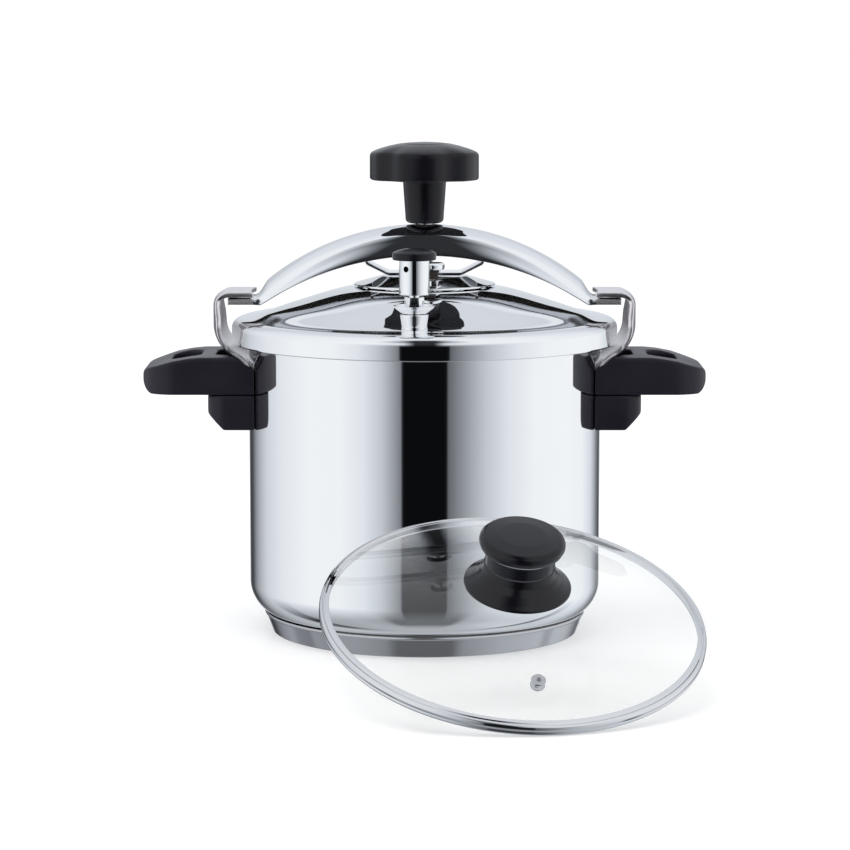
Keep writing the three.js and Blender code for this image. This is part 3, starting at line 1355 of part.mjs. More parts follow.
// ---------------------------------------------------------------- the lid with its valves
add('lid_shell', lidShell(), 'steel');
add('gasket', gasket(), 'silicone');
add('pressure_plate', pressurePlate(), 'steel');
add('saddle', saddle(), 'steel');
add('pressure_foot', pressureFoot(), 'steel');
add('valve_collar', valveCollar(), 'steel');
add('valve_cup', valveCup(), 'steel');
add('valve_nipple', valveNipple(), 'brass');
add('valve_nut', insideNut(NIPPLE_RADIUS + GAP, NUT_RADIUS, VALVE_X, VALVE_Y), 'brass');
add('safety_base', safetyBase(), 'steel');
add('safety_seal', safetySeal(), 'redSilicone');
add('safety_nut', insideNut(SAFETY_STEM_RADIUS + GAP, SAFETY_BASE_RADIUS, SAFETY_X, SAFETY_Y), 'brass');

// ---------------------------------------------------------------- the knob and its spindle
add('spindle', spindle(), 'satinSteel');
add('knob', knob(), 'phenolic');
add('knob_insert', knobInsert(), 'brass');
add('knob_screw', knobScrew(), 'steel');
add('knob_cap', knobCap(), 'phenolic');

// ---------------------------------------------------------------- moving parts of the valves
add('regulator_needle', regulatorNeedle(), 'brass');
add('regulator_weight', regulatorWeight(), 'steel');
add('regulator_cap', regulatorCap(), 'phenolic');
add('safety_plunger', safetyPlunger(), 'steel');
add('safety_spring', safetySpring(), 'satinSteel');

// ---------------------------------------------------------------- the glass lid
const glassLid = leaningGroup();
cooker.add(glassLid);
add('glass_dome', glassDome(), 'glass', glassLid);
add('glass_rim', glassRim(), 'satinSteel', glassLid);
add('vent_eyelet', ventEyelet(), 'steel', glassLid);
add('glass_knob_base', glassKnobBase(), 'phenolic', glassLid);
add('glass_knob_top', glassKnobTop(), 'phenolic', glassLid);
add('glass_washer', glassWasher(), 'silicone', glassLid);
add('glass_screw', glassScrew(), 'steel', glassLid);

export default cooker;
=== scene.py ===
# Stovetop pressure cooker with a crossbar closure and a glass lid: the look of every piece.
import math

import bmesh
import bpy
from mathutils import Matrix, Vector


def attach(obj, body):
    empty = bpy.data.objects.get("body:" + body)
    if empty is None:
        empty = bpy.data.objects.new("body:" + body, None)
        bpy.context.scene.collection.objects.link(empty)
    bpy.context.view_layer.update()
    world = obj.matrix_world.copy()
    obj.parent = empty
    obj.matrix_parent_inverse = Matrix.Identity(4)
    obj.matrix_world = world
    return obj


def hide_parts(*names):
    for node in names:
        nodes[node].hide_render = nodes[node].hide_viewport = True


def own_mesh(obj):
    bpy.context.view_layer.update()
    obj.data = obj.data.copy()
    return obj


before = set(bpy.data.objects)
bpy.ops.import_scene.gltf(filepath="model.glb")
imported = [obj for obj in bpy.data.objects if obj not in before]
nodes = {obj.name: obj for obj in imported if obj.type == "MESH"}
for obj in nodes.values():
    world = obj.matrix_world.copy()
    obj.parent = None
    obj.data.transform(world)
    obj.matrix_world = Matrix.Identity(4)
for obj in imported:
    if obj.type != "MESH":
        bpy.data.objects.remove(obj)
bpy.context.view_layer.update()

# ------------------------------------ camera
# A long lens a little over two metres away, slightly above the top of the cooker and tipped down
# to the middle of it.
CAMERA_DISTANCE = 2.2
CAMERA_HEIGHT = 0.431
CAMERA_ASIDE = 0.0003
CAMERA_TILT = math.radians(7.49)
LENS_LENGTH = 135.9
SENSOR_WIDTH = 36.0

camera_data = bpy.data.cameras.new("camera")
camera_data.lens = LENS_LENGTH
camera_data.sensor_width = SENSOR_WIDTH
camera = bpy.data.objects.new("camera", camera_data)
camera.location = (CAMERA_ASIDE, -CAMERA_DISTANCE, CAMERA_HEIGHT)
camera.rotation_euler = (math.radians(90.0) - CAMERA_TILT, 0.0, 0.0)
bpy.context.scene.collection.objects.link(camera)
bpy.context.scene.camera = camera
bpy.context.scene.view_settings.view_transform = "Standard"

# ------------------------------------ studio
# A white room with a dark gap at the front. At the cooker's own height its side panels fade slowly
# towards the gap and towards narrow dark strips at the back; higher up the gap narrows. The worktop,
# seen only in the steel, is greyer and has a wider gap.
ROOM_BELOW = [
    # degrees round from the front, towards +X, and brightness
    (-180, 0.55), (-130, 0.50), (-122, 0.03), (-108, 0.03), (-104, 0.34), (-60, 0.42), (-36, 0.34),
    (-26, 0.10), (26, 0.10), (36, 0.40), (70, 0.60), (110, 0.66), (114, 0.12), (119, 0.12),
    (124, 0.60), (180, 0.55),
]
ROOM_WALLS = [
    (-180, 0.90), (-172, 0.62), (-164, 0.05), (-154, 0.08), (-142, 0.38), (-126, 0.70), (-106, 0.87),
    (-80, 0.98), (-56, 0.97), (-40, 0.85), (-28, 0.62), (-19, 0.34), (-15.5, 0.24), (-14, 0.004),
    (14, 0.004), (15.5, 0.15), (24, 0.30), (40, 0.62), (56, 0.84), (76, 0.97), (106, 1.0),
    (126, 0.95), (140, 0.74), (153, 0.24), (163, 0.05), (172, 0.62), (180, 0.90),
]
ROOM_PANELS = [
    (-180, 0.74), (-150, 0.60), (-120, 0.86), (-60, 0.98), (-25, 0.96), (-13, 0.82), (-6, 0.03),
    (6, 0.03), (13, 0.76), (25, 0.92), (60, 0.98), (120, 0.90), (150, 0.62), (180, 0.74),
]
ROOM_CEILING = [
    (-180, 0.72), (-90, 0.94), (-34, 0.94), (-18, 0.42), (-9, 0.03), (9, 0.03), (18, 0.42),
    (34, 0.94), (90, 0.94), (180, 0.72),
]
ROOM_NADIR = 0.42
ROOM_ZENITH = 0.88
ROOM_CLIMBS = [
    # how far up a direction points where each band starts to take over from the last, and where it has
    (-0.99, -0.90), (-0.78, -0.30), (-0.08, 0.26), (0.42, 0.66), (0.88, 0.985),
]
ROOM_TONES = [
    (0.0, (0.0, 0.0, 0.0, 1.0)), (0.2, (0.187, 0.20, 0.218, 1.0)),
    (0.8, (0.77, 0.804, 0.858, 1.0)), (1.0, (0.985, 1.0, 1.01, 1.0)),
]
ROOM_FILL = 0.86
SOFTBOX_SIZE = (1.6, 1.2)
SOFTBOX_POWER = 9.0
SOFTBOX_PLACE = Vector((-0.5, -0.5, 1.9))
SOFTBOX_AIM = Vector((0.0, 0.0, 0.1))


def linked(tree, kind, settings=None, **inputs):
    """A new node with its properties and inputs set; a socket as an input is linked."""
    node = tree.nodes.new(kind)
    for name, value in (settings or {}).items():
        setattr(node, name, value)
    for name, value in inputs.items():
        key = int(name[1:]) if name[0] == "i" and name[1:].isdigit() else name.replace("_", " ")
        if isinstance(value, bpy.types.NodeSocket):
            tree.links.new(value, node.inputs[key])
        else:
            node.inputs[key].default_value = value
    return node


def grey(value):
    return (value, value, value, 1.0)


def ramp(tree, factor, stops):
    """A colour ramp over [(position, grey or colour), ...]."""
    node = linked(tree, "ShaderNodeValToRGB", Fac=factor)
    elements = node.color_ramp.elements
    while len(elements) < len(stops):
        elements.new(0.5)
    for element, (position, value) in zip(elements, stops):
        element.position = position
        element.color = value if isinstance(value, tuple) else grey(value)
    return node.outputs["Color"]


def math_of(tree, operation, *values):
    named = {f"i{index}": value for index, value in enumerate(values)}
    return linked(tree, "ShaderNodeMath", {"operation": operation}, **named).outputs[0]


def mixed(tree, factor, first, second):
    """Colour that goes from the first to the second as the factor goes from 0 to 1."""
    node = linked(tree, "ShaderNodeMix", {"data_type": "RGBA"}, i0=factor, i6=first, i7=second)
    return node.outputs[2]


def seen_directly(tree):
    """1 for what the camera sees straight or through the glass, else 0."""
    path = linked(tree, "ShaderNodeLightPath")
    return math_of(tree, "MAXIMUM", path.outputs["Is Camera Ray"], path.outputs["Is Transmission Ray"])


def room_world():
    world = bpy.data.worlds.new("room")
    world.use_nodes = True
    tree = world.node_tree
    tree.nodes.clear()
    direction = linked(tree, "ShaderNodeTexCoord").outputs["Generated"]
    split = linked(tree, "ShaderNodeSeparateXYZ", Vector=direction)
    round_from_front = math_of(
        tree, "ARCTAN2", split.outputs["X"], math_of(tree, "MULTIPLY", split.outputs["Y"], -1.0)
    )
    share = math_of(tree, "MULTIPLY_ADD", round_from_front, 0.5 / math.pi, 0.5)
    bands = [
        ramp(tree, share, [((angle + 180.0) / 360.0, level) for angle, level in levels])
        for levels in (ROOM_BELOW, ROOM_WALLS, ROOM_PANELS, ROOM_CEILING)
    ]
    height = math_of(tree, "MULTIPLY_ADD", split.outputs["Z"], 0.5, 0.5)
    room = grey(ROOM_NADIR)
    for (low, high), band in zip(ROOM_CLIMBS, [*bands, grey(ROOM_ZENITH)]):
        climb = ramp(tree, height, [(low / 2 + 0.5, 0.0), (high / 2 + 0.5, 1.0)])
        room = mixed(tree, climb, room, band)
    room = ramp(tree, room, ROOM_TONES)
    mirrored = linked(tree, "ShaderNodeLightPath").outputs["Is Glossy Ray"]
    light = mixed(tree, mirrored, grey(ROOM_FILL), room)
    colour = mixed(tree, seen_directly(tree), light, grey(1.0))
    background = linked(tree, "ShaderNodeBackground", Color=colour)
    output = linked(tree, "ShaderNodeOutputWorld", Surface=background.outputs[0])
    output.is_active_output = True
    bpy.context.scene.world = world


room_world()

softbox_data = bpy.data.lights.new("overhead_softbox", "AREA")
softbox_data.shape = "RECTANGLE"
softbox_data.size, softbox_data.size_y = SOFTBOX_SIZE
softbox_data.energy = SOFTBOX_POWER
softbox = bpy.data.objects.new("overhead_softbox", softbox_data)
softbox.location = SOFTBOX_PLACE
softbox.rotation_euler = (SOFTBOX_AIM - SOFTBOX_PLACE).to_track_quat("-Z", "Y").to_euler()
softbox.visible_glossy = False
bpy.context.scene.collection.objects.link(softbox)

# ------------------------------------ worktop
# A plain white surface, a little glossy, that keeps a faint shadow under the cooker and the leaning
# lid. It glows only where it is looked at, so that it reaches white without more light.
FLOOR_HALF = 15.0
FLOOR_GLOW = 0.35


def new_material(name):
    """An empty node material and its tree."""
    material = bpy.data.materials.new(name)
    material.use_nodes = True
    material.node_tree.nodes.clear()
    return material, material.node_tree


def floor_material():
    material, tree = new_material("white_worktop")
    strength = math_of(tree, "MULTIPLY", seen_directly(tree), FLOOR_GLOW)
    glow = linked(tree, "ShaderNodeEmission", Color=grey(1.0), Strength=strength)
    matt = linked(tree, "ShaderNodeBsdfDiffuse", Color=grey(0.76))
    gloss = linked(tree, "ShaderNodeBsdfGlossy", Color=grey(0.05), Roughness=0.06)
    lit = linked(tree, "ShaderNodeAddShader", i0=glow.outputs[0], i1=matt.outputs[0])
    both = linked(tree, "ShaderNodeAddShader", i0=lit.outputs[0], i1=gloss.outputs[0])
    linked(tree, "ShaderNodeOutputMaterial", Surface=both.outputs[0])
    return material


floor_corners = [(x * FLOOR_HALF, y * FLOOR_HALF, 0.0) for x, y in ((-1, -1), (1, -1), (1, 1), (-1, 1))]
floor_mesh = bpy.data.meshes.new("worktop")
floor_mesh.from_pydata(floor_corners, [], [(0, 1, 2, 3)])
floor_mesh.materials.append(floor_material())
floor = bpy.data.objects.new("worktop", floor_mesh)
floor.visible_glossy = False
bpy.context.scene.collection.objects.link(floor)

# ------------------------------------ pot
# A drawn pot of mirror-polished stainless steel with a rounded foot and a rim that flares under the
# lid. It is turned from one outline.
MM = 0.001
ROUND = 224
POT_RADIUS = 121.0


def subtract(a, b):
    return (a[0] - b[0], a[1] - b[1])


def rounded(corners, closed=False, steps=6):
    """Outline of (radius, height, fillet) corners with each fillet drawn as an arc.

    A short edge beside each arc keeps the flats next to it truly flat when they are shaded.
    """
    count = len(corners)
    points = []
    for index, (x, z, fillet) in enumerate(corners):
        open_end = not closed and index in (0, count - 1)
        if fillet <= 0 or open_end:
            points.append((x, z))
            continue
        before, after = corners[index - 1], corners[(index + 1) % count]
        back, ahead = subtract(before, (x, z)), subtract(after, (x, z))
        back_length, ahead_length = math.hypot(*back), math.hypot(*ahead)
        back = (back[0] / back_length, back[1] / back_length)
        ahead = (ahead[0] / ahead_length, ahead[1] / ahead_length)
        between = math.acos(max(-1.0, min(1.0, back[0] * ahead[0] + back[1] * ahead[1])))
        if between > math.pi - 0.02:
            points.append((x, z))
            continue
        reach = min(fillet / math.tan(between / 2), back_length * 0.49, ahead_length * 0.49)
        radius = reach * math.tan(between / 2)
        middle = (back[0] + ahead[0], back[1] + ahead[1])
        length = math.hypot(*middle)
        centre_away = radius / math.sin(between / 2)
        centre = (x + middle[0] / length * centre_away, z + middle[1] / length * centre_away)
        start = (x + back[0] * reach, z + back[1] * reach)
        end = (x + ahead[0] * reach, z + ahead[1] * reach)
        from_angle = math.atan2(start[1] - centre[1], start[0] - centre[0])
        turn = math.atan2(end[1] - centre[1], end[0] - centre[0]) - from_angle
        turn = (turn + math.pi) % (2 * math.pi) - math.pi
        support = min(0.5, reach * 0.3, back_length * 0.04 + 0.05, ahead_length * 0.04 + 0.05)
        points.append((start[0] + back[0] * support, start[1] + back[1] * support))
        for step in range(steps + 1):
            angle = from_angle + turn * step / steps
            points.append((centre[0] + radius * math.cos(angle), centre[1] + radius * math.sin(angle)))
        points.append((end[0] + ahead[0] * support, end[1] + ahead[1] * support))
    return points


def bend(cx, cz, radius, start, end, steps):
    """Points of an arc in degrees, both ends included."""
    angles = [math.radians(start + (end - start) * step / steps) for step in range(steps + 1)]
    return [(cx + radius * math.cos(angle), cz + radius * math.sin(angle)) for angle in angles]


def object_of(name, mesh):
    obj = bpy.data.objects.new(name, mesh)
    bpy.context.scene.collection.objects.link(obj)
    return obj


def built(name, work):
    """The object of a mesh that has been built."""
    mesh = bpy.data.meshes.new(name)
    work.to_mesh(mesh)
    work.free()
    return object_of(name, mesh)


def smooth(mesh):
    mesh.polygons.foreach_set("use_smooth", [True] * len(mesh.polygons))
    mesh.update()


def turned(name, outline, centre=(0.0, 0.0), segments=ROUND, closed=False, shape=None):
    """Turns an outline in mm about the upright line through the centre, also in mm.

    A piece that isn't round gives its shape: the radius for an outline's radius and an angle.
    """
    work = bmesh.new()
    rings = []
    for radius, height in outline:
        if radius < 1e-6:
            rings.append([work.verts.new((centre[0] * MM, centre[1] * MM, height * MM))])
            continue
        ring = []
        for index in range(segments):
            angle = 2 * math.pi * index / segments
            out = shape(radius, angle) if shape else radius
            place = (centre[0] + out * math.cos(angle), centre[1] + out * math.sin(angle), height)
            ring.append(work.verts.new(Vector(place) * MM))
        rings.append(ring)
    pairs = list(zip(rings, rings[1:]))
    if closed:
        pairs.append((rings[-1], rings[0]))
    for low, high in pairs:
        for index in range(segments):
            corners = [low[index % len(low)], low[(index + 1) % len(low)]]
            corners += [high[(index + 1) % len(high)], high[index % len(high)]]
            corners = list(dict.fromkeys(corners))
            if len(corners) > 2:
                work.faces.new(corners)
    bmesh.ops.recalc_face_normals(work, faces=work.faces)
    obj = built(name, work)
    smooth(obj.data)
    return obj


def finished(obj, material, body, slot, *replaced):
    """Gives a piece its material, its body and the solids that it stands for. The slot is not used."""
    obj.data.materials.clear()
    obj.data.materials.append(material)
    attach(obj, body)
    if replaced:
        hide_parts(*replaced)


def opaque(colour, share=1.0):
    """A colour, or a share of it, for a colour socket."""
    return (*(channel * share for channel in colour), 1.0)


def noise(tree, place, scale, detail, **more):
    return linked(tree, "ShaderNodeTexNoise", Vector=place, Scale=scale, Detail=detail, **more).outputs["Fac"]


def bumped(tree, height, strength, distance=0.0002):
    return linked(tree, "ShaderNodeBump", Strength=strength, Distance=distance, Height=height).outputs[0]


def surfaced(tree, **inputs):
    """Ends a material's tree in its surface."""
    surface = linked(tree, "ShaderNodeBsdfPrincipled", **inputs)
    linked(tree, "ShaderNodeOutputMaterial", Surface=surface.outputs[0])


def placed_material(name):
    """An empty node material, its tree and the place on the piece for its patterns."""
    material, tree = new_material(name)
    return material, tree, linked(tree, "ShaderNodeTexCoord").outputs["Object"]


def steel(name, colour, rough, smear, lines, line_scale):
    """Stainless steel: faint smears in the gloss and fine polishing lines round the piece."""
    material, tree, place = placed_material(name)
    cloud = noise(tree, place, 14.0, 4.0, Roughness=0.55)
    gloss = ramp(tree, cloud, [(0.35, rough), (0.70, rough + smear)])
    tint = ramp(tree, cloud, [(0.30, opaque(colour, 0.985)), (0.70, opaque(colour))])
    stretched = linked(tree, "ShaderNodeMapping", Vector=place, Scale=line_scale)
    grain = noise(tree, stretched.outputs[0], 1.0, 3.0)
    surfaced(tree, Base_Color=tint, Roughness=gloss, Metallic=1.0, Normal=bumped(tree, grain, lines))
    return material


MIRROR = steel("mirror_steel", (0.90, 0.91, 0.925), 0.015, 0.02, 0.005, (40.0, 40.0, 600.0))

POT_LIP = rounded([
    (124.6, 204.4, 0), (127.4, 205.4, 1.0), (128, 207.2, 0.6), (127.2, 208.0, 0.4), (126.6, 207.0, 0.4),
    (124.2, 205.6, 0),
], steps=3)
POT_OUTLINE = [
    (0, 11.3), *bend(97, 35.3, 24.0, -90, 0, 20), (POT_RADIUS, 60), (POT_RADIUS, 110), (POT_RADIUS, 198.2),
    *bend(127.4, 198.6, 6.4, 180, 118, 6), *POT_LIP, *bend(127.4, 198.6, 7.6, 114, 180, 6),
    (119.8, 110), (119.8, 60), *bend(97, 35.7, 22.8, 0, -90, 16), (0, 12.9),
]
pot = turned("pot_body_polished", POT_OUTLINE)
finished(pot, MIRROR, "pot", "mirror_steel", "pot_body")

# ------------------------------------ base
# An aluminium disc under the pot inside a pressed steel cap. The cap's side widens upwards to a
# bright rolled edge that lies against the pot.
BRUSHED = steel("brushed_steel", (0.74, 0.745, 0.76), 0.20, 0.06, 0.10, (60.0, 60.0, 2600.0))
BASE_STEEL = steel("base_steel", (0.50, 0.50, 0.52), 0.08, 0.03, 0.004, (60.0, 60.0, 600.0))
BASE_CAP_OUTLINE = rounded([
    (0, 0, 0), (105.4, 0, 0.9), (110.0, 12.2, 0.4), (110.9, 13.0, 0.5), (110.5, 14.6, 0.6),
    (107.2, 13.1, 0.5), (104.9, 2.6, 0.6), (103.6, 1.2, 0.5), (0, 1.2, 0),
], steps=5)
base_cap = turned("base_cap_polished", BASE_CAP_OUTLINE)
finished(base_cap, BASE_STEEL, "pot", "satin_steel", "base_cap")


def plain_metal(name, colour, rough):
    """Turned or rolled metal that mostly sits inside: fine grain and a soft gloss."""
    material, tree, place = placed_material(name)
    grain = noise(tree, place, 900.0, 2.0)
    gloss = ramp(tree, grain, [(0.3, rough), (0.7, rough + 0.12)])
    surfaced(
        tree, Base_Color=opaque(colour), Roughness=gloss, Metallic=1.0, Normal=bumped(tree, grain, 0.08)
    )
    return material


def dress(name, material):
    """Gives a solid that already has the right shape its material."""
    data = nodes[name].data
    data.materials.clear()
    data.materials.append(material)


ALUMINIUM = plain_metal("rolled_aluminium", (0.78, 0.785, 0.79), 0.30)
dress("base_core", ALUMINIUM)

# ------------------------------------ hooks
# Two pressed steel strips, 3.4 mm thick, that follow the wall, lean out and stand up as C hooks
# round the crossbar's ends. Their edges are ground round.
HOOK_SHEET = 3.4
HOOK_SLOPE = (121.0, 213.0, 24.0)
HOOK_PATH = [
    (124.7, 150.0), (124.7, 168.0), (124.7, 180.5), (125.3, 184.2), (127.3, 187.6), (130.5, 190.4),
    *bend(*HOOK_SLOPE, -56, 0, 14), (145.0, 219.0),
    *bend(135.5, 226.1, 9.5, 0, 90, 12),
    (131.0, 235.6), (125.0, 235.6), (119.0, 235.6),
]
SIDES = (("right", 1), ("left", -1))


def eased(value, low, high):
    """0 below low, 1 above high, and a soft rise between them."""
    share = max(0.0, min(1.0, (value - low) / (high - low)))
    return share * share * (3 - 2 * share)


def hook_half_width(height):
    return 28.0 + 4.5 * eased(height, 189.5, 200.0) - 8.5 * eased(height, 214.0, 232.0)


def across(half_width, steps):
    """Even places from one edge of a strip to the other."""
    return [half_width * (2 * index / steps - 1) for index in range(steps + 1)]


def plain(obj):
    """Applies what is live on a piece and leaves one plain mesh."""
    graph = bpy.context.evaluated_depsgraph_get()
    mesh = bpy.data.meshes.new_from_object(obj.evaluated_get(graph))
    obj.modifiers.clear()
    obj.data = mesh
    smooth(mesh)
    return obj


def eased_edges(obj, width, limit=30):
    """Rounds the edges that turn by more than the limit in degrees."""
    bevel = obj.modifiers.new("edge", "BEVEL")
    bevel.width = width * MM
    bevel.segments = 3
    bevel.limit_method = "ANGLE"
    bevel.angle_limit = math.radians(limit)
    return plain(obj)


def pressed(name, rows, thickness, edge, faces_up=True):
    """A sheet through rows of points in mm, with its thickness and its ground edges."""
    work = bmesh.new()
    made = [[work.verts.new(Vector(point) * MM) for point in row] for row in rows]
    for low, high in zip(made, made[1:]):
        for index in range(len(low) - 1):
            work.faces.new((low[index], low[index + 1], high[index + 1], high[index]))
    if faces_up:
        bmesh.ops.recalc_face_normals(work, faces=work.faces)
        if sum(face.normal.z for face in work.faces) < 0:
            bmesh.ops.reverse_faces(work, faces=work.faces)
    obj = built(name, work)
    sheet = obj.modifiers.new("sheet", "SOLIDIFY")
    sheet.thickness = thickness * MM
    sheet.offset = -1.0
    sheet.use_even_offset = True
    return eased_edges(obj, edge, 50)


def hook(name, side):
    rows = []
    for radius, height in HOOK_PATH:
        places = across(hook_half_width(height), 16)
        rows.append([(side * math.sqrt(radius * radius - y * y), side * y, height) for y in places])
    return pressed(name, rows, HOOK_SHEET, 0.7, faces_up=False)


SATIN = steel("satin_strip", (0.84, 0.805, 0.815), 0.22, 0.06, 0.08, (300.0, 300.0, 60.0))
for side_name, side in SIDES:
    strip = hook(f"hook_{side_name}_satin", side)
    finished(strip, SATIN, "pot", "mirror_steel", f"hook_{side_name}")

# ------------------------------------ hook rivets
# Three flat-headed steel rivets hold each hook. One head is set on every place in the list, inside
# and outside the wall.
RIVET_PLACES = [(0.0, 174.0), (-20.0, 160.0), (20.0, 160.0)]
RIVET_HEADS = ((119.0, -1.0), (125.6, 1.0))
RIVET_RADIUS = 4.9
RIVET_HEIGHT = 1.3


def geometry_tree(name, *inputs):
    """A geometry tree with a Geometry output and the named float inputs, and its input node."""
    tree = bpy.data.node_groups.new(name, "GeometryNodeTree")
    tree.interface.new_socket("Geometry", in_out="INPUT", socket_type="NodeSocketGeometry")
    tree.interface.new_socket("Geometry", in_out="OUTPUT", socket_type="NodeSocketGeometry")
    for label, value in inputs:
        socket = tree.interface.new_socket(label, in_out="INPUT", socket_type="NodeSocketFloat")
        socket.default_value = value
    return tree, tree.nodes.new("NodeGroupInput")


def run_tree(obj, tree, values):
    """Runs a geometry tree on an object, with inputs set by their identifiers, as a plain mesh."""
    modifier = obj.modifiers.new("tree", "NODES")
    modifier.node_group = tree
    for item in tree.interface.items_tree:
        if item.item_type == "SOCKET" and item.in_out == "INPUT" and item.name in values:
            modifier[item.identifier] = values[item.name]
    return plain(obj)


def ended(tree, geometry, material):
    """Realizes what a tree made, gives it its material and ends the tree."""
    real = linked(tree, "GeometryNodeRealizeInstances", Geometry=geometry)
    coloured = linked(tree, "GeometryNodeSetMaterial", Geometry=real.outputs[0], Material=material)
    linked(tree, "NodeGroupOutput", Geometry=coloured.outputs[0])


def rivet_tree(material):
    tree, given = geometry_tree("rivet_heads", ("Head Radius", 0.005), ("Head Height", 0.0014))
    ball = linked(tree, "GeometryNodeMeshUVSphere", Segments=32, Rings=16, Radius=1.0)
    flat = linked(
        tree, "ShaderNodeCombineXYZ",
        X=given.outputs["Head Radius"], Y=given.outputs["Head Radius"], Z=given.outputs["Head Height"],
    )
    aim = linked(tree, "GeometryNodeInputNamedAttribute", {"data_type": "FLOAT_VECTOR"}, Name="aim")
    turn = linked(tree, "FunctionNodeAlignRotationToVector", Vector=aim.outputs["Attribute"])
    heads = linked(
        tree, "GeometryNodeInstanceOnPoints", Points=given.outputs["Geometry"],
        Instance=ball.outputs["Mesh"], Rotation=turn.outputs[0], Scale=flat.outputs[0],
    )
    ended(tree, heads.outputs[0], material)
    return tree


RIVETS = rivet_tree(BRUSHED)


def rivets(name, side):
    places, aims = [], []
    for around, height in RIVET_PLACES:
        angle = around / POT_RADIUS
        out = Vector((side * math.cos(angle), side * math.sin(angle), 0.0))
        for radius, aim in RIVET_HEADS:
            places.append((out * radius + Vector((0, 0, height))) * MM)
            aims.extend(out * aim)
    mesh = bpy.data.meshes.new(name)
    mesh.from_pydata(places, [], [])
    mesh.attributes.new("aim", "FLOAT_VECTOR", "POINT").data.foreach_set("vector", aims)
    values = {"Head Radius": RIVET_RADIUS * MM, "Head Height": RIVET_HEIGHT * MM}
    return run_tree(object_of(name, mesh), RIVETS, values)


for side_name, side in SIDES:
    heads = rivets(f"hook_rivet_heads_{side_name}", side)
    rivet_names = [f"hook_rivet_{number}_{side_name}" for number in (1, 2, 3)]
    finished(heads, BRUSHED, "pot", "satin_steel", *rivet_names)

# ------------------------------------ handles
# Loop handles of black phenolic in two halves, moulded to the wall and to the slope of the hook.
# The seam between the halves shows; the edges are all well rounded. A few tenths are added to the
# sizes of a block for what the rounding takes off.
GRIP_REACH = 192.5
GRIP_TOP = 192.5
SEAM = 167.0
HEEL_LOW = 142.9
HEEL_REACH = 147.8
HANDLE_HALF_WIDTH = 38.0
WALL_CLEAR = POT_RADIUS + 0.3
SKIN_VOXEL = 0.8


def moulded_plastic(name, colour, rough, shine=0.24, grain=0.10):
    """Black phenolic: a satin skin with very fine pits and slightly polished high spots."""
    material, tree, place = placed_material(name)
    pits = noise(tree, place, 1400.0, 2.0)
    cloud = noise(tree, place, 30.0, 3.0)
    gloss = ramp(tree, cloud, [(0.3, rough - 0.03), (0.7, rough + 0.05)])
    tint = ramp(tree, cloud, [(0.3, opaque(colour, 0.9)), (0.7, opaque(colour, 1.15))])
    surfaced(
        tree, Base_Color=tint, Roughness=gloss, Specular_IOR_Level=shine,
        Normal=bumped(tree, pits, grain, 0.0003),
    )
    return material


PHENOLIC = moulded_plastic("black_phenolic", (0.0155, 0.014, 0.0235), 0.34)


def prism(name, outline, low, high, plane="XY"):
    """A block of an outline in mm. In plane XZ it spans Y from low to high."""
    work = bmesh.new()
    ends = []
    for level in (low, high):
        ring = []
        for a, b in outline:
            place = (a, b, level) if plane == "XY" else (a, level, b)
            ring.append(work.verts.new(Vector(place) * MM))
        ends.append(ring)
    count = len(outline)
    work.faces.new(ends[0])
    work.faces.new(ends[1])
    for index in range(count):
        after = (index + 1) % count
        work.faces.new((ends[0][index], ends[0][after], ends[1][after], ends[1][index]))
    bmesh.ops.recalc_face_normals(work, faces=work.faces)
    return built(name, work)


def combined(obj, tool, operation="DIFFERENCE"):
    """Cuts, joins or trims a piece with another, which is then removed."""
    modifier = obj.modifiers.new("cut", "BOOLEAN")
    modifier.operation = operation
    modifier.solver = "EXACT"
    modifier.object = tool
    plain(obj)
    obj.data.set_sharp_from_angle(angle=math.radians(40))
    bpy.data.objects.remove(tool)


def box(left, low, right, high):
    return [(left, low), (right, low), (right, high), (left, high)]


def plan(inner, reach, half, corner):
    """Plan of a handle's half: straight at the wall, round at its two far corners."""
    front = bend(reach - corner, corner - half, corner, -90, 0, 16)
    back = bend(reach - corner, half - corner, corner, 0, 90, 16)
    return [(inner, -half), *front, *back, (inner, half)]


def slot_plan(inner, outer, half):
    """Plan of a slot with round ends, along Y."""
    radius, centre = (outer - inner) / 2, (outer + inner) / 2
    upper = bend(centre, half - radius, radius, 0, 180, 20)
    return upper + bend(centre, radius - half, radius, 180, 360, 20)


def fitted(block):
    """Cuts away the room for the wall, for the hook's slope and for its plate on the wall."""
    centre_radius, centre_height, radius = HOOK_SLOPE
    slope = bend(centre_radius, centre_height, radius + 0.3, -56, 0, 16)
    wall = [(0, 120), (WALL_CLEAR, 120), (WALL_CLEAR, 184.2), *slope, (0, centre_height)]
    combined(block, turned("wall", wall, segments=180))
    plate_room = turned("plate", box(0, 149.6, 125.0, 189.0), segments=180)
    combined(plate_room, prism("width", box(0, -28.4, 150, 28.4), 140, 200), "INTERSECT")
    combined(block, plate_room)


def soft_moulded(obj, rounds):
    """Rounds every edge of a block as a mould does."""
    skin = obj.modifiers.new("skin", "REMESH")
    skin.mode = "VOXEL"
    skin.voxel_size = SKIN_VOXEL * MM
    skin.use_smooth_shade = True
    ease = obj.modifiers.new("ease", "SMOOTH")
    ease.factor = 0.5
    ease.iterations = rounds
    return plain(obj)


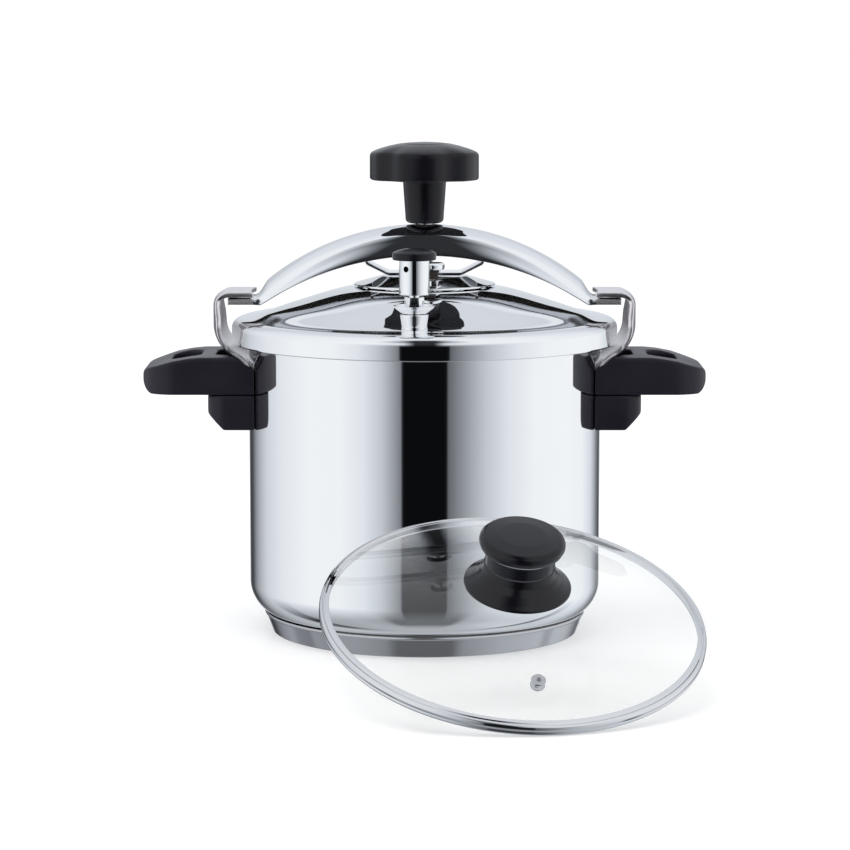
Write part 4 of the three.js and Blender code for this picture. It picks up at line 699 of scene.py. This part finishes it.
def grip():
    outside = plan(100, GRIP_REACH + 0.4, HANDLE_HALF_WIDTH + 0.2, 24.0)
    block = prism("grip", outside, SEAM + 0.05, GRIP_TOP + 0.2)
    side = [
        (90, SEAM - 5), (176, SEAM - 5), *bend(182.0, 176.5, 10.6, -88, 0, 10),
        *bend(187.5, 179.8, 5.0, 0, 72, 5), (172, 189.9), (162, 191.8), (152, GRIP_TOP + 0.3),
        (90, GRIP_TOP + 0.3),
    ]
    combined(block, prism("side", side, -60, 60, "XZ"), "INTERSECT")
    fitted(block)
    combined(block, prism("finger", slot_plan(153.5, 173.5, 21.0), SEAM - 10, GRIP_TOP + 10))
    combined(block, prism("pocket", slot_plan(127.0, 143.0, 19.0), GRIP_TOP - 9, GRIP_TOP + 10))
    return soft_moulded(block, 14)


def heel():
    outside = plan(100, HEEL_REACH, HANDLE_HALF_WIDTH + 0.2, 12.0)
    block = prism("heel", outside, HEEL_LOW, SEAM - 0.35)
    side = [
        (90, HEEL_LOW), (136.6, HEEL_LOW), (HEEL_REACH, 154.0), (HEEL_REACH, SEAM + 5), (90, SEAM + 5),
    ]
    combined(block, prism("side", side, -60, 60, "XZ"), "INTERSECT")
    fitted(block)
    combined(block, prism("well", bend(134.5, 0, 6.5, 0, 348.75, 31), 130, 151.0))
    return soft_moulded(block, 9)


def half_turned(obj, name):
    """A copy of a right-hand piece on the left-hand side."""
    mesh = obj.data.copy()
    mesh.transform(Matrix.Rotation(math.pi, 4, "Z"))
    mesh.name = name
    return object_of(name, mesh)


for half_name, make in (("grip", grip), ("heel", heel)):
    right = make()
    right.name = f"handle_{half_name}_right_moulded"
    left = half_turned(right, f"handle_{half_name}_left_moulded")
    finished(right, PHENOLIC, "pot", "black_phenolic", f"handle_{half_name}_right")
    finished(left, PHENOLIC, "pot", "black_phenolic", f"handle_{half_name}_left")

BRASS = plain_metal("turned_brass", (0.78, 0.60, 0.30), 0.22)
for side_name, _ in SIDES:
    for part in ("bracket", "bolt", "washer"):
        dress(f"handle_{part}_{side_name}", BRUSHED)
    dress(f"handle_insert_{side_name}", BRASS)

# ------------------------------------ crossbar
# A pressed bar of channel section, crowned on top, arched over the lid and flattened at its ends
# into the tongues that sit under the hooks.
BAR_HALF = 21.0
BAR_TOP_HALF = 16.0
BAR_SHEET = 2.0
BAR_CROWN = 5.5
BAR_TOP, BAR_TOP_ARC = 281.0, 171.1
BAR_EDGE, BAR_EDGE_ARC = 260.7, 204.3
ARC_REACH = 116.4
TONGUE_TOP, TONGUE_EDGE = 231.9, 227.15
TONGUE_BEND = (107.0, 118.0)
TONGUE_START, TONGUE_END = 117.0, 134.2
BAR_STATIONS = [step * 1.5 for step in range(90)] + [TONGUE_END]


def fall(radius, x):
    """How far an arc has dropped at x from its crown."""
    return radius - math.sqrt(radius * radius - x * x)


def bar_top(x):
    arched = BAR_TOP - fall(BAR_TOP_ARC, min(abs(x), ARC_REACH))
    return arched + (TONGUE_TOP - arched) * eased(abs(x), *TONGUE_BEND)


def bar_edge(x):
    return max(TONGUE_EDGE, BAR_EDGE - fall(BAR_EDGE_ARC, x))


def bar_section(x):
    """Half a section of the bar's outer face: a full crown, a tight crease and a bellied flange."""
    flat = eased(abs(x), *TONGUE_BEND)
    top, edge = bar_top(x), bar_edge(x)
    shoulder = BAR_TOP_HALF + (BAR_HALF - 0.8 - BAR_TOP_HALF) * flat
    crown = BAR_CROWN * (1 - 0.85 * flat)
    drop = top - crown - edge
    points = []
    for step in range(11):
        y = (shoulder - 1.1) * step / 10
        points.append((y, top - crown * (y / shoulder) ** 2.1))
    belly = [
        (shoulder + (BAR_HALF - shoulder) * out, top - crown - drop * share)
        for share, out in ((0.08, 0.17), (0.2, 0.36), (0.33, 0.52), (0.55, 0.73), (0.78, 0.88), (1.0, 1.0))
    ]
    before, corner, after = points[-1], (shoulder, top - crown), belly[0]
    for step in range(1, 6):
        t = step / 6
        points.append(tuple(
            (1 - t) ** 2 * a + 2 * t * (1 - t) * b + t * t * c for a, b, c in zip(before, corner, after)
        ))
    return points + belly


def crossbar():
    rows = []
    for x in [-x for x in reversed(BAR_STATIONS[1:])] + BAR_STATIONS:
        half_section = bar_section(x)
        section = [(-y, z) for y, z in reversed(half_section[1:])] + half_section
        rows.append([(x, y, z) for y, z in section])
    return pressed("crossbar_polished", rows, BAR_SHEET, 0.45)


def lined(obj, *linings):
    """Gives the faces that pass each test its material instead of the piece's own."""
    for number, (material, inside) in enumerate(linings, start=1):
        obj.data.materials.append(material)
        for face in obj.data.polygons:
            if inside(face.center / MM, face.normal):
                face.material_index = number


def inside_flange(centre, normal):
    return normal.y * centre.y < -0.05 and normal.z < 0.3 and abs(normal.y) > 0.5


def on_tongue(centre, normal):
    return abs(centre.x) > TONGUE_START and not inside_flange(centre, normal)


def under_bar(centre, normal):
    return normal.z < -0.2 and not inside_flange(centre, normal) and abs(centre.x) <= TONGUE_START


# The bar's inner flange faces are unpolished steel darkened to near black: painted shade inside the channel.
FLANGE_PAINTED_SHADE = plain_metal("flange_painted_shade_steel", (0.085, 0.075, 0.07), 0.42)
# A near-black metal colour that is painted shade: under the knob's stem on the bush and inside the steam
# hole.
PAINTED_SHADE_DARK = plain_metal("painted_shade_dark", (0.03, 0.027, 0.025), 0.40)
bar = crossbar()
finished(bar, MIRROR, "bridge", "mirror_steel", "crossbar")
lined(bar, (FLANGE_PAINTED_SHADE, inside_flange), (SATIN, on_tongue), (BRUSHED, under_bar))
# The bush is brass; its near-black colour here is painted shade under the knob's stem.
dress("spindle_bush", PAINTED_SHADE_DARK)

# ------------------------------------ lid
# A pressed lid of polished steel: a deep skirt, a tight shoulder and a dome that flattens at the
# crown and towards the shoulder. Under it lies the silicone sealing ring.
LID_SHEET = 1.4
LID_RADIUS = 132.5
LID_TOP = 241.0
DOME = [
    (130.2, 215.3), (128.4, 216.3), (125.0, 217.1), (118.5, 217.9), (112.0, 219.2), (104.0, 222.0),
    (96.0, 224.9), (88.0, 227.5), (80.0, 230.1), (72.0, 232.7), (64.0, 235.1), (56.0, 237.1),
    (46.0, 238.9), (34.0, 240.2), (20.0, 240.8), (8.0, LID_TOP), (0.0, LID_TOP),
]
DOME_REACH = 129.3


def flowing(points, steps=4):
    """A smooth curve guided by points, through the first and the last."""
    guides = [points[0], points[0], *points, points[-1], points[-1]]
    curve = []
    for a, b, c, d in zip(guides, guides[1:], guides[2:], guides[3:]):
        for step in range(steps):
            t = step / steps
            weights = ((1 - t) ** 3, 3 * t**3 - 6 * t**2 + 4, -3 * t**3 + 3 * t**2 + 3 * t + 1, t**3)
            curve.append(tuple(
                sum(weight * point[axis] for weight, point in zip(weights, (a, b, c, d))) / 6
                for axis in (0, 1)
            ))
    curve.append(points[-1])
    return curve


def inset(outline, distance):
    """The outline moved inwards, square to itself."""
    moved = []
    for index, (x, z) in enumerate(outline):
        before, after = outline[max(index - 1, 0)], outline[min(index + 1, len(outline) - 1)]
        along = subtract(after, before)
        length = math.hypot(*along) or 1.0
        moved.append((max(x - along[1] / length * distance, 0.0), z + along[0] / length * distance))
    return moved


dome_curve = [point for point in flowing(DOME) if point[0] < DOME_REACH]
lid_face = [
    *((LID_RADIUS, height) for height in (200.9, 201.6, 204.5, 209.3, 210.3)),
    *bend(126.5, 210.5, 6.0, 6, 55, 8), *dome_curve,
]
lid_outline = [
    *reversed(inset(lid_face, LID_SHEET)), (131.3, 200.45), (131.8, 200.2), (132.3, 200.4), *lid_face,
]
lid_outline[0] = (0.0, LID_TOP - LID_SHEET)
lid_outline[-1] = (0.0, LID_TOP)
lid = turned("lid_polished", lid_outline)
finished(lid, MIRROR, "lid", "mirror_steel", "lid_shell")


def silicone(name, colour):
    """Moulded silicone: matt, slightly soft to the light."""
    material, tree, place = placed_material(name)
    dust = noise(tree, place, 300.0, 3.0)
    tint = ramp(tree, dust, [(0.3, opaque(colour, 0.9)), (0.7, opaque(colour))])
    surfaced(tree, Base_Color=tint, Roughness=0.62, Normal=bumped(tree, dust, 0.1))
    return material


PALE_SILICONE = silicone("pale_silicone", (0.62, 0.60, 0.55))
dress("gasket", PALE_SILICONE)

# ------------------------------------ pressure plate, saddle and foot
# A pressed disc that spreads the spindle's load over the lid, the saddle whose lips keep the
# crossbar in line, and the foot that the spindle presses on.
SAFETY = (5.0, -36.0)
SADDLE_HALF_WIDTH = 14.0
SADDLE_SHEET = 1.9
PLATE_OUTLINE = rounded([
    (0, 244.5, 0), (27.5, 244.5, 5), (46.4, 239.2, 1.2), (48.1, 239.15, 0.3), (48.5, 239.7, 0.4),
    (48.2, 240.4, 0.4), (46.9, 240.8, 1.5), (29.0, 245.8, 8), (0, 246.1, 0),
])
plate = turned("pressure_plate_polished", PLATE_OUTLINE)
combined(plate, turned("opening", box(0, 230, 7.6, 260), SAFETY, 64))
finished(plate, MIRROR, "lid", "mirror_steel", "pressure_plate")

SADDLE_LINE = rounded([
    (-39.1, 259.8, 0), (-39.1, 255.6, 2.2), (-24.6, 248.4, 5),
    (24.6, 248.4, 5), (39.1, 255.6, 2.2), (39.1, 259.8, 0),
], steps=8)
saddle_rows = [[(x, y, z) for y in across(SADDLE_HALF_WIDTH, 12)] for x, z in SADDLE_LINE]
saddle = pressed("saddle_polished", saddle_rows, SADDLE_SHEET, 0.4)
finished(saddle, MIRROR, "lid", "mirror_steel", "saddle")

FOOT_OUTLINE = rounded([
    (0, 246.5, 0), (10.9, 246.5, 0.4), (10.9, 249.0, 0.6), (8.6, 253.3, 0.8), (6.3, 253.3, 0.3),
    (6.3, 249.8, 0), (0, 249.8, 0),
])
foot = turned("pressure_foot_polished", FOOT_OUTLINE, segments=96)
finished(foot, MIRROR, "lid", "mirror_steel", "pressure_foot")

# ------------------------------------ spindle
# A steel screw of 12 mm. The thread is a helix swept round the core, from the foot's socket to
# above the bush.
def helix_tree(material):
    tree, given = geometry_tree(
        "helix", ("Turns", 10.0), ("Radius", 0.006), ("Height", 0.03), ("Wire", 0.0006),
    )
    spiral = linked(
        tree, "GeometryNodeCurveSpiral", Resolution=48, Rotations=given.outputs["Turns"],
        Start_Radius=given.outputs["Radius"], End_Radius=given.outputs["Radius"],
        Height=given.outputs["Height"],
    )
    wire = linked(tree, "GeometryNodeCurvePrimitiveCircle", Resolution=10, Radius=given.outputs["Wire"])
    swept = linked(
        tree, "GeometryNodeCurveToMesh", Curve=spiral.outputs[0], Profile_Curve=wire.outputs[0],
        Fill_Caps=True,
    )
    both = linked(tree, "GeometryNodeJoinGeometry", Geometry=given.outputs["Geometry"])
    tree.links.new(swept.outputs[0], both.inputs[0])
    ended(tree, both.outputs[0], material)
    return tree


HELIX = helix_tree(BRUSHED)


def add_helix(obj, turns, radius, height, wire, centre, low):
    """Adds a helix about the upright line through the centre to a piece."""
    shift = Matrix.Translation(Vector((centre[0], centre[1], low)) * MM)
    obj.data.transform(shift.inverted())
    values = {"Turns": turns, "Radius": radius * MM, "Height": height * MM, "Wire": wire * MM}
    run_tree(obj, HELIX, values)
    obj.data.transform(shift)


SPINDLE_OUTLINE = rounded([
    (0, 250.2, 0), (5.0, 250.2, 0.5), (5.5, 251.2, 0.4), (5.5, 307, 0.3), (0, 307, 0),
])
spindle = turned("spindle_threaded", SPINDLE_OUTLINE, segments=64)
add_helix(spindle, turns=11.6, radius=5.35, height=29.0, wire=0.62, centre=(0, 0), low=252.0)
finished(spindle, BRUSHED, "closing_knob", "satin_steel", "spindle")

# ------------------------------------ closing knob
# A five-lobed hand knob of black phenolic on a slightly tapered stem, with a pressed-in cap over
# its screw.
KNOB_RADIUS = 37.5
KNOB_TOP = 337.0
LOBES = 5
LOBE_HALF = math.radians(15.0)
LOBE_TURN = math.radians(-96.3)
SCALLOP = 3.4
KNOB_FACE = [
    (0, 281.6), (3, 281.6), (9.0, 281.6), *bend(9.9, 284.8, 3.2, -80, -8, 6), (13.4, 290), (14.0, 298),
    (14.6, 307.0), *bend(17.3, 308.6, 2.6, 180, 90, 6), (24, 311.2), (33, 311.2), (35.4, 311.25),
    *bend(35.6, 313.1, 1.9, -85, 0, 5), (37.5, 316), (37.5, 320), (37.5, 324.6), (37.5, 325.8),
    *bend(33.9, 327.4, 3.6, 4, 64, 7),
]
KNOB_CROWN = [(radius, KNOB_TOP - 6.2 * (radius / 35.5) ** 2.3) for radius in (33, 29, 24, 19.2, 17.6)]
KNOB_CAP = [
    (17.15, 335.6), (17.0, 335.3), (16.8, 335.55), (16.2, 335.9), (12, 336.45), (6, 336.85), (0, KNOB_TOP),
]


def lobed(radius, angle):
    """The knob's radius at an angle: a round stem that turns into a lobed rim."""
    pitch = 2 * math.pi / LOBES
    offset = (angle - LOBE_TURN + pitch / 2) % pitch - pitch / 2
    past = max(0.0, (abs(offset) - LOBE_HALF) / (pitch / 2 - LOBE_HALF))
    rim = KNOB_RADIUS - SCALLOP * (0.5 - 0.5 * math.cos(math.pi * past))
    return radius * (1 + eased(radius, 19.0, KNOB_RADIUS) * (rim / KNOB_RADIUS - 1))


KNOB_PLASTIC = moulded_plastic("knob_phenolic", (0.0045, 0.0042, 0.0072), 0.24, shine=0.29, grain=0.05)
hand_knob = turned("closing_knob_moulded", KNOB_FACE + KNOB_CROWN + KNOB_CAP, segments=240, shape=lobed)
finished(hand_knob, KNOB_PLASTIC, "closing_knob", "black_phenolic", "knob", "knob_cap")
dress("knob_insert", BRASS)
dress("knob_screw", BRUSHED)

# ------------------------------------ regulator valve
# A turned collar, a dished cup that throws drops outwards, a hexagon nipple with the needle's seat,
# and the weight: a steel sleeve with a steam hole under a black cap.
VALVE = (-6.7, -106.0)
STEAM_HOLE_HEIGHT = 259.0
STEAM_HOLE_BEARING = math.radians(-33.0)
COLLAR_OUTLINE = rounded([
    (4.2, 214, 0), (8.2, 214, 0), (8.2, 220.6, 0.3), (9.4, 228.6, 0.5), (8.6, 229.0, 0.2), (4.2, 229.0, 0),
], closed=True)


def under_dome():
    """The room under the lid's dome, which a piece that stands on the dome is cut with."""
    return turned("under", [(0, 205), (130, 205), *((x, z + 0.05) for x, z in dome_curve)], segments=180)


collar = turned("valve_collar_polished", COLLAR_OUTLINE, VALVE, 96, closed=True)
combined(collar, under_dome())
finished(collar, MIRROR, "lid", "mirror_steel", "valve_collar")

CUP_OUTLINE = rounded([
    (4.2, 229.3, 0), (8.2, 229.3, 1.2), (12.4, 232.6, 3.0), (14.0, 234.7, 0.4), (13.0, 234.75, 0.3),
    (11.4, 233.2, 2.0), (8.0, 230.5, 1.5), (4.2, 230.5, 0),
], closed=True)
cup = turned("valve_cup_polished", CUP_OUTLINE, VALVE, 112, closed=True)
finished(cup, MIRROR, "lid", "mirror_steel", "valve_cup")


def hexagon(name, centre, radius, low, high):
    """A hexagon bar with eased edges and its corners at the radius."""
    outline = []
    for index in range(6):
        angle = index * math.pi / 3
        outline.append((centre[0] + radius * math.cos(angle), centre[1] + radius * math.sin(angle)))
    return eased_edges(prism(name, outline, low, high), 0.4)


NIPPLE_OUTLINE = rounded([
    (1.3, 205.9, 0), (3.9, 205.9, 0.3), (3.9, 231.9, 0), (3.4, 232.0, 0), (3.4, 242.4, 0.5),
    (2.1, 244.2, 0.3), (1.3, 244.2, 0),
], closed=True)
nipple = turned("valve_nipple_turned", NIPPLE_OUTLINE, VALVE, 64, closed=True)
combined(nipple, hexagon("hex", VALVE, 6.6, 230.9, 240.2), "UNION")
combined(nipple, turned("bore", box(0, 200, 1.3, 250), VALVE, 32))
finished(nipple, MIRROR, "lid", "brass", "valve_nipple")
dress("valve_nut", BRASS)
dress("regulator_needle", BRASS)

WEIGHT_OUTLINE = rounded([
    (4.4, 241.8, 0), (9.5, 241.8, 0.3), (10.0, 242.5, 0.3), (10.0, 266.3, 0.2), (0, 266.3, 0),
    (0, 261.0, 0), (4.4, 261.0, 0),
], steps=4)
weight = turned("regulator_weight_polished", WEIGHT_OUTLINE, VALVE, 96, closed=True)
steam_hole = turned("steam_hole", box(0, 5.4, 2.0, 14), segments=32)
steam_hole.data.transform(
    Matrix.Translation(Vector((*VALVE, STEAM_HOLE_HEIGHT)) * MM)
    @ Matrix.Rotation(STEAM_HOLE_BEARING, 4, "Z")
    @ Matrix.Rotation(math.radians(90.0), 4, "X")
)
combined(weight, steam_hole)
finished(weight, MIRROR, "weight", "mirror_steel", "regulator_weight")


def in_steam_hole(centre, normal):
    from_axis = math.hypot(centre.x - VALVE[0], centre.y - VALVE[1])
    return from_axis < 9.8 and abs(centre.z - STEAM_HOLE_HEIGHT) < 3.0


# The steam hole's inside is painted near black: painted shade in the hole.
lined(weight, (PAINTED_SHADE_DARK, in_steam_hole))

WEIGHT_CAP_OUTLINE = rounded([
    (0, 266.6, 0), (10.3, 266.6, 0.2), (10.3, 264.6, 0.2), (14.0, 264.6, 0.5), (14.4, 265.6, 0.4),
    (14.4, 269.2, 0.9), (11.5, 270.7, 6), (6, 272.0, 9), (0, 272.4, 0),
])
weight_cap = turned("regulator_cap_moulded", WEIGHT_CAP_OUTLINE, VALVE, 96)
finished(weight_cap, KNOB_PLASTIC, "weight", "black_phenolic", "regulator_cap")

# ------------------------------------ safety valve
# A small pop-up valve behind the regulator: a hexagon base that stands through the plate, a silicone
# neck, a turned plunger and the spring that holds it down inside the lid.
SPRING_LOW = 221.8
SPRING_HIGH = 230.8
base = hexagon("safety_base_polished", SAFETY, 7.0, 229.6, 245.4)
combined(base, under_dome())
finished(base, MIRROR, "lid", "mirror_steel", "safety_base")

NECK_OUTLINE = rounded([
    (2.1, 245.8, 0), (4.6, 245.8, 0.4), (4.6, 247.4, 0.5), (3.1, 249.6, 1.5), (3.1, 252.3, 0.3),
    (2.1, 252.3, 0),
], closed=True)
neck = turned("safety_neck_silicone", NECK_OUTLINE, SAFETY, 64, closed=True)
DARK_SILICONE = silicone("dark_silicone", (0.03, 0.016, 0.015))
finished(neck, DARK_SILICONE, "lid", "red_silicone", "safety_seal")
dress("safety_nut", BRASS)

PLUNGER_OUTLINE = rounded([
    (0, 219.4, 0), (4.2, 219.4, 0.4), (4.2, 220.9, 0.3), (1.8, 220.9, 0.3), (1.8, 252.7, 0.2),
    (8.1, 252.7, 0.4), (8.6, 253.4, 0.4), (8.6, 255.9, 0.6), (7.3, 257.2, 0.7), (0, 257.3, 0),
])
plunger = turned("safety_plunger_polished", PLUNGER_OUTLINE, SAFETY, 72)
finished(plunger, MIRROR, "plunger", "mirror_steel", "safety_plunger")

spring = object_of("safety_spring_coil", bpy.data.meshes.new("safety_spring_coil"))
add_helix(
    spring, turns=4.0, radius=3.2, height=SPRING_HIGH - SPRING_LOW, wire=0.6, centre=SAFETY, low=SPRING_LOW,
)
finished(spring, BRUSHED, "lid", "satin_steel", "safety_spring")
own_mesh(spring)

# ------------------------------------ glass lid
# A domed pane of clear tempered glass in a rolled steel rim, leaning on the pot with its front edge
# on the worktop. It is built flat and then leaned.
GLASS_BEARING = math.radians(13.6)
GLASS_TILT = math.radians(22.0)
GLASS_ARC = 291.31
GLASS_CROWN = 31.3
GLASS_SHEET = 4.0
GLASS_RADIUS = 120.3
SCREW_HOLE = 2.8
RIM_RADIUS = 121.5
RIM_EDGE = 1.0
VENT_AWAY = 88.0
VENT_BEARING = math.radians(-95.0)


def leaned(obj):
    """Moves a piece from flat to leaning, with the rim's edge on the worktop and against the pot."""
    reach = RIM_RADIUS * math.cos(GLASS_TILT) - RIM_EDGE * math.sin(GLASS_TILT)
    away = WALL_CLEAR + reach
    lift = (RIM_RADIUS - RIM_EDGE) * math.sin(GLASS_TILT)
    place = Vector((away * math.sin(GLASS_BEARING), -away * math.cos(GLASS_BEARING), lift)) * MM
    turn = Matrix.Rotation(GLASS_BEARING, 4, "Z") @ Matrix.Rotation(GLASS_TILT, 4, "X")
    obj.data.transform(Matrix.Translation(place) @ turn)
    return obj


def glass_height(radius):
    return GLASS_CROWN - fall(GLASS_ARC, radius)


def clear_glass():
    material, tree = new_material("clear_glass")
    surfaced(tree, Base_Color=opaque((0.985, 0.995, 0.99)), Roughness=0.0, IOR=1.40, Transmission_Weight=1.0)
    return material


pane_radii = [SCREW_HOLE + (GLASS_RADIUS - SCREW_HOLE) * step / 40 for step in range(41)]
pane_outline = [(radius, glass_height(radius) - GLASS_SHEET) for radius in pane_radii]
pane_outline += [(radius, glass_height(radius)) for radius in reversed(pane_radii)]
pane = turned("glass_pane", pane_outline, closed=True)
vent_place = (
    Matrix.Rotation(VENT_BEARING, 4, "Z")
    @ Matrix.Translation(Vector((VENT_AWAY, 0.0, glass_height(VENT_AWAY) - GLASS_SHEET / 2)) * MM)
    @ Matrix.Rotation(math.asin(VENT_AWAY / GLASS_ARC), 4, "Y")
)
vent_hole = turned("vent_hole", box(0, -12, 2.9, 12), segments=48)
vent_hole.data.transform(vent_place)
combined(pane, vent_hole)
finished(leaned(pane), clear_glass(), "glass_lid", "clear_glass", "glass_dome")

RIM_OUTLINE = rounded([
    (115.5, 0, 0.35), (120.4, 0, 1.2), (121.5, 1.3, 1.2), (121.2, 3.0, 0.6), (121.5, 4.6, 0.8),
    (121.0, 6.2, 0.9), (119.7, 6.9, 0.9), (118.7, 6.3, 0.5), (117.6, 7.0, 0.7), (115.5, 7.8, 0.3),
    (115.5, 7.1, 0.2), (117.5, 6.4, 0.3), (118.7, 5.6, 0.3), (120.3, 5.4, 0.5), (120.6, 0.9, 0.5),
    (115.5, 0.9, 0.3),
], closed=True, steps=4)
rim = leaned(turned("glass_rim_polished", RIM_OUTLINE, segments=256, closed=True))
RIM_STEEL = steel("rim_steel", (0.74, 0.745, 0.76), 0.02, 0.02, 0.01, (200.0, 200.0, 900.0))
finished(rim, RIM_STEEL, "glass_lid", "satin_steel", "glass_rim")

EYELET_OUTLINE = rounded([
    (1.6, -3.6, 0.2), (4.4, -3.6, 0.4), (4.8, -2.7, 0.3), (2.6, -2.6, 0.2), (2.6, 2.6, 0.2),
    (4.8, 2.7, 0.3), (4.2, 3.6, 0.5), (1.6, 3.6, 0.3),
], closed=True)
eyelet = turned("vent_eyelet_polished", EYELET_OUTLINE, segments=64, closed=True)
eyelet.data.transform(vent_place)
finished(leaned(eyelet), BASE_STEEL, "glass_lid", "mirror_steel", "vent_eyelet")

# ------------------------------------ glass lid's knob
# A flared base and a mushroom top of black phenolic, held by a screw through the glass with a
# silicone washer under it. The pot's mirror shows none of the lid that leans on it.
def seat(radius):
    """The height of the knob's underside, just clear of the glass."""
    return glass_height(radius) + 0.3


KNOB_BASE_EDGE = seat(33.5)
KNOB_BASE_OUTLINE = rounded([
    (2.8, seat(2.8), 0), (17, seat(17), 0), (33.5, KNOB_BASE_EDGE, 0.5), (33.6, KNOB_BASE_EDGE + 1.9, 0.9),
    (31.0, KNOB_BASE_EDGE + 3.6, 4), (26.6, KNOB_BASE_EDGE + 7.2, 8), (23.4, KNOB_BASE_EDGE + 11.6, 6),
    (22.2, 45.5, 0.3), (2.8, 45.5, 0),
], closed=True, steps=8)
GLOSSY_PHENOLIC = moulded_plastic(
    "glossy_phenolic", (0.0035, 0.0033, 0.0055), 0.16, shine=0.36, grain=0.03,
)
knob_base = leaned(turned("glass_knob_base_moulded", KNOB_BASE_OUTLINE, segments=160, closed=True))
finished(knob_base, GLOSSY_PHENOLIC, "glass_lid", "black_phenolic", "glass_knob_base")

KNOB_TOP_OUTLINE = rounded([
    (0, 56.3, 0), (2.8, 56.3, 0.2), (2.8, 45.9, 0), (21.7, 45.9, 0.3), (21.8, 50.0, 3), (22.0, 54.6, 1.5),
    (25.6, 57.3, 1.6), (26.9, 60.4, 3), (26.6, 63.2, 3), (24.4, 65.3, 3), (14.5, 66.4, 14), (0, 66.85, 0),
], steps=8)
knob_top = leaned(turned("glass_knob_top_moulded", KNOB_TOP_OUTLINE, segments=160))
finished(knob_top, GLOSSY_PHENOLIC, "glass_lid", "black_phenolic", "glass_knob_top")
dress("glass_washer", PALE_SILICONE)
dress("glass_screw", BRUSHED)
for piece in (pane, rim, eyelet, knob_base, knob_top, nodes["glass_washer"], nodes["glass_screw"]):
    piece.visible_glossy = False
